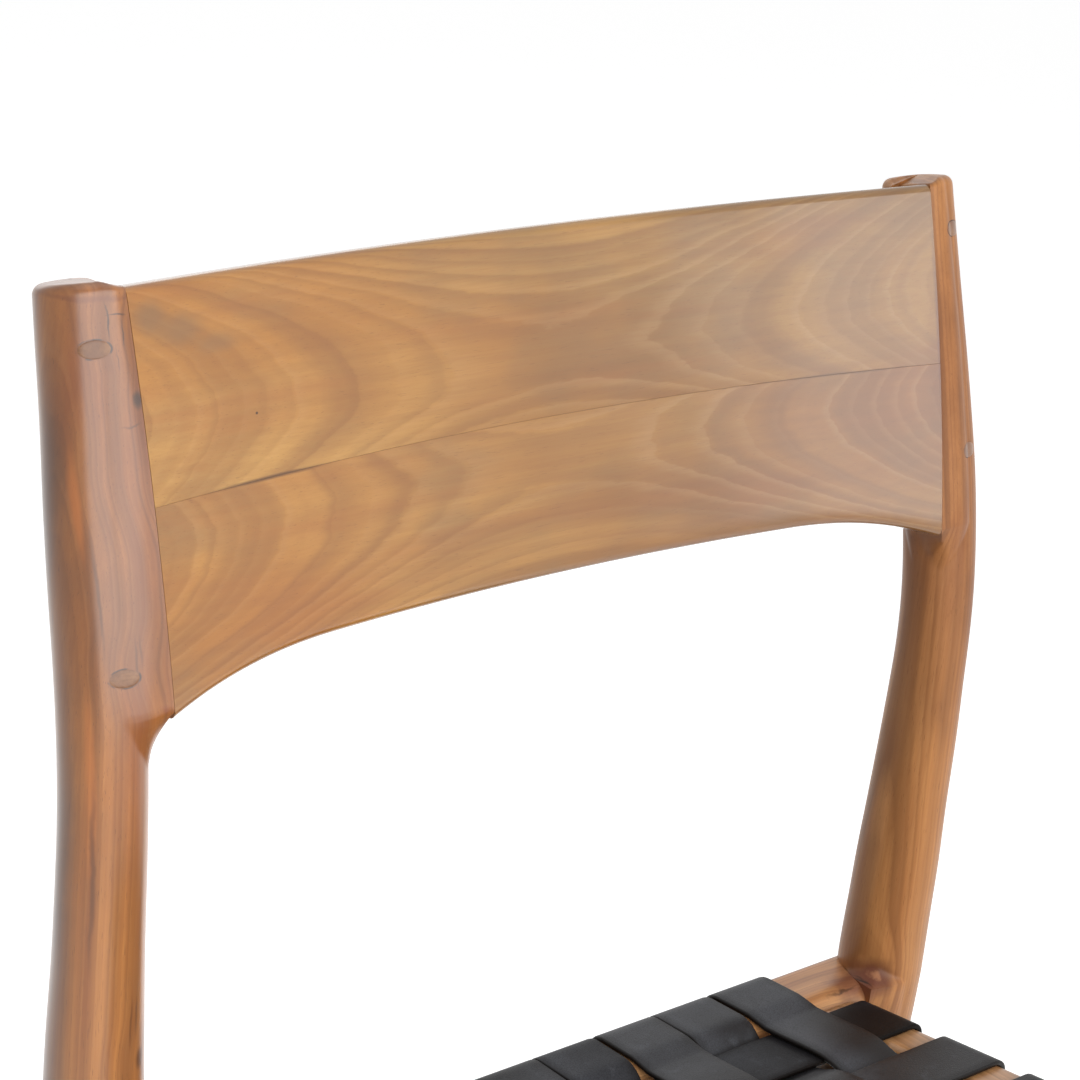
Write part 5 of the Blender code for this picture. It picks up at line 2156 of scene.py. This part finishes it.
@dataclass
class Studio:
    """The pale floor, the white room, the lamps and the camera."""

    floor_half: float = 30.0
    floor_tone: float = 0.80
    floor_lift: float = 0.75
    floor_rough: float = 0.9
    floor_shine: float = 0.1
    room_light: float = 0.26
    lamps: tuple[SoftBox, ...] = (
        SoftBox("window_softbox", (-0.07, -2.05, 1.22), (0.0, 0.15, 0.65), (3.70, 1.7), 66.0),
        SoftBox("rear_softbox", (0.7, 2.6, 1.8), (0.0, 0.1, 0.5), (3.0, 1.3), 13.0),
        SoftBox("top_softbox", (0.2, -0.2, 2.6), (0.0, 0.0, 0.5), (1.8, 1.8), 7.5))
    sensor: float = 36.0
    lens: float = 99.7
    clip: Pair = (0.05, 200.0)
    right: Place = (0.7519, -0.6522, 0.0965)
    back: Place = (-0.6394, -0.6857, 0.3478)
    eye: Place = (-0.7756, -0.6098, 1.0970)

    @staticmethod
    def seen_directly(graph: NodeGraph) -> Socket:
        """Return 1 for camera, mirror and glass rays, and 0 for the rest."""
        rays = graph.add("LightPath").outputs
        return graph.sum("MAXIMUM", graph.sum("MAXIMUM", rays["Is Camera Ray"],
                                              rays["Is Glossy Ray"]), rays["Is Transmission Ray"])

    def build_world(self) -> None:
        """Make the white room."""
        graph = NodeGraph("white_studio", world=True)
        bpy.context.scene.world = graph.owner
        graph.shader.inputs["Color"].default_value = WHITE
        level = graph.soft_step(self.seen_directly(graph), 0.0, 1.0, self.room_light, 1.0)
        graph.feed(graph.shader.inputs["Strength"], level)

    def build_floor(self) -> None:
        """Make the floor, which renders white and keeps the chair's shadow."""
        reach = self.floor_half
        mesh = bpy.data.meshes.new("studio_floor")
        mesh.from_pydata([(-reach, -reach, 0), (reach, -reach, 0), (reach, reach, 0),
                          (-reach, reach, 0)], [], [(0, 1, 2, 3)])
        graph = NodeGraph("pale_floor")
        graph.dress((self.floor_tone,) * 3, self.floor_rough,
                    {"Specular IOR Level": self.floor_shine})
        graph.shader.inputs["Emission Color"].default_value = WHITE
        lift = graph.sum("MULTIPLY", self.seen_directly(graph), self.floor_lift)
        graph.feed(graph.shader.inputs["Emission Strength"], lift)
        mesh.materials.append(graph.owner)
        floor = stand("studio_floor", mesh)

    def build_camera(self) -> None:
        """Set the camera where the photograph was taken from."""
        data = bpy.data.cameras.new("photo_camera")
        data.sensor_width, data.lens = self.sensor, self.lens
        data.clip_start, data.clip_end = self.clip
        back = Vector(self.back).normalized()
        right = Vector(self.right)
        right = (right - back * right.dot(back)).normalized()
        turn = Matrix((right, back.cross(right), back)).transposed().to_4x4()
        turn.translation = Vector(self.eye)
        camera = stand("photo_camera", data)
        camera.matrix_world = turn
        bpy.context.scene.camera = camera

    def build(self) -> None:
        """Set up the whole studio."""
        self.build_world()
        self.build_floor()
        for lamp in self.lamps:
            lamp.hang()
        self.build_camera()
        bpy.context.scene.view_settings.view_transform = "Standard"


SMUDGE = tone(124, 98, 72)
VEIN = tone(92, 56, 34)
CRACK = tone(52, 32, 22)
# The colour of the painted shade down the left post's outer side.
LEFT_EDGE_SHADE = tone(84, 50, 28)
CORNER_CRACK = tone(48, 30, 22)

# Painted shade that darkens the right of both boards, the two dark stretches of their seam,
# and the stain and the line where they meet the right post.
BOARD_MARKS = (
    Mark((0.24, 0.205, 0.735), (0.44, 0.18, 0.3), (0.48, 0.46, 0.44), 0.78, kind="MULTIPLY"),
    Mark((-0.15, 0.207, 0.7305), (0.044, 0.012, 0.0011), tone(84, 54, 34), 0.75, 0.0006),
    Mark((0.15, 0.207, 0.7305), (0.07, 0.012, 0.0009), tone(84, 54, 34), 0.5, 0.0006),
    Mark((0.208, 0.207, 0.722), (0.013, 0.03, 0.075), (0.74, 0.6, 0.52), 0.7, 0.002,
         kind="MULTIPLY"),
    Mark((0.2068, 0.207, 0.73), (0.0026, 0.03, 0.08), tone(92, 48, 32), 0.7, 0.0008))

# The grey smudge and the pinhole.
UPPER_BOARD_MARKS = (
    Mark((-0.198, 0.221, 0.7935), (0.011, 0.02, 0.008), SMUDGE, 0.5, 0.004),
    Mark((-0.185, 0.221, 0.788), (0.016, 0.02, 0.0075), SMUDGE, 0.45, 0.004),
    Mark((-0.17, 0.221, 0.78), (0.014, 0.02, 0.006), SMUDGE, 0.35, 0.004),
    Mark((-0.1537, 0.2134, 0.7538), (0.0009, 0.005, 0.0007), tone(44, 28, 20), 0.85, core=0.3))

# The veins, cracks, dark edges and small knots of the left post, and the painted shade down
# its outer left side.
LEFT_POST_MARKS = (
    Mark((-0.222, 0.21, 0.735), (0.06, 0.06, 0.12), (0.7, 0.66, 0.66), 0.9, core=0.5,
         kind="MULTIPLY"),
    Mark((-0.2085, 0.213, 0.735), (0.006, 0.016, 0.08), tone(104, 60, 40), 0.65, 0.004, 60.0,
         0.1),
    Mark((-0.2225, 0.22, 0.802), (0.024, 0.03, 0.0016), tone(112, 60, 36), 0.5, 0.0012, 120.0),
    # Painted shade down the post's outer left side: two dark bands and a darker stretch low down.
    Mark((-0.2385, 0.222, 0.735), (0.0055, 0.016, 0.075), LEFT_EDGE_SHADE, 0.7, 0.003),
    Mark((-0.2415, 0.199, 0.615), (0.0055, 0.016, 0.085), LEFT_EDGE_SHADE, 0.7, 0.003),
    Mark((-0.2435, 0.199, 0.545), (0.009, 0.018, 0.11), (0.5, 0.44, 0.4), 0.9, 0.002, core=0.4,
         kind="MULTIPLY"),
    Mark((-0.233, 0.208, 0.735), (0.002, 0.01, 0.05), tone(206, 122, 58), 0.5, 0.001),
    Mark((-0.2358, 0.188, 0.63), (0.002, 0.01, 0.06), tone(206, 122, 58), 0.5, 0.001),
    Mark((-0.2302, 0.1967, 0.701), (0.001, 0.014, 0.038), VEIN, 0.65, 0.0012, 60.0),
    Mark((-0.2358, 0.1846, 0.5985), (0.0011, 0.01, 0.05), VEIN, 0.65, 0.0012, 60.0),
    Mark((-0.217, 0.2189, 0.794), (0.0006, 0.008, 0.009), CRACK, 0.9, 0.0014, 130.0),
    Mark((-0.2135, 0.2189, 0.7965), (0.005, 0.008, 0.0005), CRACK, 0.8, 0.0012, 200.0),
    Mark((-0.2118, 0.2185, 0.7895), (0.0005, 0.008, 0.007), CRACK, 0.8, 0.0012, 170.0),
    Mark((-0.215, 0.217, 0.781), (0.0006, 0.008, 0.007), CRACK, 0.7, 0.0014, 130.0),
    Mark((-0.2125, 0.2079, 0.7594), (0.006, 0.008, 0.0006), VEIN, 0.7, 0.0018, 120.0),
    Mark((-0.2087, 0.2096, 0.7675), (0.0034, 0.007, 0.0048), tone(44, 32, 26), 0.8, 0.0012,
         120.0, 0.3),
    Mark((-0.2192, 0.188, 0.6796), (0.0009, 0.008, 0.012), VEIN, 0.6, 0.0012, 90.0),
    Mark((-0.2172, 0.188, 0.682), (0.0008, 0.008, 0.009), VEIN, 0.5, 0.0012, 90.0),
    Mark((-0.208, 0.1855, 0.66), (0.0036, 0.007, 0.0026), tone(136, 66, 36), 0.55, 0.0012, 120.0),
    Mark((-0.22, 0.177, 0.54), (0.001, 0.007, 0.014), VEIN, 0.55, 0.001, 90.0),
    Mark((-0.2172, 0.1772, 0.542), (0.0009, 0.007, 0.012), VEIN, 0.5, 0.001, 90.0),
    Mark((-0.2143, 0.1784, 0.5235), (0.0034, 0.007, 0.006), tone(84, 48, 28), 0.7, 0.001, 120.0,
         0.35))

# The knot where the right post meets the rear rail, with its cracks.
CORNER_MARKS = (
    Mark((0.2035, 0.1792, 0.436), (0.012, 0.014, 0.011), tone(82, 44, 34), 0.7, 0.003, 120.0,
         0.3),
    Mark((0.196, 0.185, 0.433), (0.022, 0.016, 0.012), tone(108, 58, 46), 0.75, 0.006, 90.0, 0.3),
    Mark((0.186, 0.185, 0.4335), (0.013, 0.0014, 0.01), CORNER_CRACK, 0.8, 0.004, 150.0),
    Mark((0.2035, 0.1792, 0.436), (0.0032, 0.008, 0.0026), tone(196, 138, 96), 0.6, 0.0026,
         300.0, 0.2),
    Mark((0.1991, 0.1843, 0.4306), (0.0007, 0.008, 0.009), CORNER_CRACK, 0.85, 0.0014, 120.0),
    Mark((0.195, 0.185, 0.433), (0.012, 0.008, 0.0007), CORNER_CRACK, 0.7, 0.0014, 120.0))
CORNER_KNOT = Knot((0.2035, 0.1792, 0.4360), 0.032, 0.0050)

# The wood of every piece.
BOARD_WOOD = {
    BoardPlace.UPPER: TeakFinish(
        "teak_upper_board", (0.0, 0.114, 0.7885), seed=1.0, pale=tone(198, 150, 82),
        honey=tone(180, 123, 57), ring_depth=0.28, pale_from=0.0,
        marks=(*BOARD_MARKS, *UPPER_BOARD_MARKS)),
    BoardPlace.LOWER: TeakFinish(
        "teak_lower_board", (0.0, 0.100, 0.739), seed=2.0, pale=tone(194, 142, 74),
        honey=tone(174, 113, 51), ring_depth=0.28, pale_from=0.0, marks=BOARD_MARKS)}

POST_WOOD = {
    Side.LEFT: TeakFinish(
        "teak_left_post", (-0.30, 0.205, 0.0), Grain.UPRIGHT, 3.0, 0.0024, tone(202, 138, 76),
        tone(178, 112, 54), tone(150, 82, 40), tone(108, 66, 38), tone(140, 96, 64), 0.30,
        wander=0.0055, pores=0.45, haze=0.28, shine=0.25, marks=LEFT_POST_MARKS,
        knots=(Knot((-0.2087, 0.2096, 0.7675), 0.026, 0.0055),
               Knot((-0.2110, 0.2060, 0.7400), 0.030, 0.0060),
               Knot((-0.2150, 0.2190, 0.7905), 0.018, 0.0050),
               Knot((-0.2192, 0.1880, 0.6760), 0.022, 0.0045),
               Knot((-0.2143, 0.1784, 0.5235), 0.024, 0.0036))),
    Side.RIGHT: TeakFinish(
        "teak_right_post", (0.305, 0.20, 0.0), Grain.UPRIGHT, 4.0, 0.0024, tone(214, 156, 100),
        tone(194, 134, 80), tone(156, 92, 50), tone(100, 60, 36), tone(128, 88, 58), 0.24,
        wander=0.0040, pores=0.4, haze=0.42, lacquer=0.3, shine=0.1, knots=(CORNER_KNOT,),
        marks=(Mark((0.22, 0.195, 0.69), (0.05, 0.06, 0.17), (0.62, 0.53, 0.50), 0.9, core=0.4,
                    kind="MULTIPLY"),
               # Painted shade down the inner side of the right post, around the seat rail.
               Mark((0.199, 0.199, 0.47), (0.008, 0.02, 0.12), tone(84, 50, 30), 0.45, 0.001),
               *CORNER_MARKS))}

LEG_WOOD = {
    side: TeakFinish(f"teak_front_leg_{side.label}", (side.value * 0.262, -0.215, 0.0),
                     Grain.UPRIGHT, 6.0 + side.value, pale=tone(212, 154, 92),
                     honey=tone(190, 130, 70), haze=0.30, lacquer=0.6)
    for side in Side}

CROSS_RAIL_WOOD = {
    CrossRailPlace.REAR: TeakFinish(
        "teak_rear_rail", (0.0, 0.12, 0.40), seed=8.0, pale=tone(234, 182, 126),
        honey=tone(218, 158, 100), rust=tone(158, 88, 52), dark=tone(110, 62, 40), haze=0.30,
        lacquer=0.6, knots=(CORNER_KNOT,), marks=CORNER_MARKS),
    CrossRailPlace.FRONT: TeakFinish("teak_front_rail", (0.0, -0.19, 0.41), seed=9.0)}

SIDE_RAIL_WOOD = {
    side: TeakFinish(f"teak_side_rail_{side.label}", (side.value * 0.15, 0.0, 0.40),
                     Grain.LENGTHWISE, 11.0 + side.value, pale=tone(228, 176, 124),
                     honey=tone(208, 150, 98), haze=0.30)
    for side in Side}

BLOCK_WOOD = TeakFinish(
    "plain_block_wood", (0.0, 0.0, 0.36), seed=15.0, pale=tone(216, 184, 144),
    honey=tone(198, 160, 118), rust=tone(182, 138, 96), dark=tone(160, 118, 82))

# The rise of each peg on its post, and how far outwards of the post's middle it sits.
PEG_PLACES = {(BoardPlace.UPPER, Side.LEFT): (0.3495, 0.0039),
              (BoardPlace.UPPER, Side.RIGHT): (0.3495, 0.0039),
              (BoardPlace.LOWER, Side.LEFT): (0.2382, 0.0008),
              (BoardPlace.LOWER, Side.RIGHT): (0.2542, 0.0022)}


def report(*pieces: Piece) -> None:
    """Log every piece that has been made."""
    for piece in pieces:
        log.info("piece %s", piece.name)


def main() -> None:
    """Build every sub-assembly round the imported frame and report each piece."""
    logging.basicConfig(level=logging.INFO, format="%(message)s")
    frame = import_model()
    posts, legs = {}, {}
    for side in Side:
        pegs = [OvalPeg(side, level, *PEG_PLACES[level, side]) for level in BoardPlace]
        wood = replace(POST_WOOD[side], holes=tuple(peg.hole() for peg in pegs))
        posts[side] = BackPost(side, wood).build()
        report(posts[side], *(peg.build(posts[side]) for peg in pegs))
    for place in BoardPlace:
        report(BackRailBoard(place, BOARD_WOOD[place]).build())
    for side in Side:
        legs[side] = FrontLeg(side, LEG_WOOD[side]).build()
        report(legs[side])
    rails = [CrossRail(place, CROSS_RAIL_WOOD[place]).build(list(meets.values()))
             for place, meets in ((CrossRailPlace.REAR, posts), (CrossRailPlace.FRONT, legs))]
    report(*rails)
    for side in Side:
        meets = [posts[side], legs[side], *rails]
        report(SideRail(side, SIDE_RAIL_WOOD[side]).build(meets))
    seat = WovenSeat()
    report(*seat.build())
    report(*Fixings(seat).build())
    report(*CornerBlocks(BLOCK_WOOD).dress(frame["nodes"]))
    Studio().build()


if __name__ == "__main__":
    main()
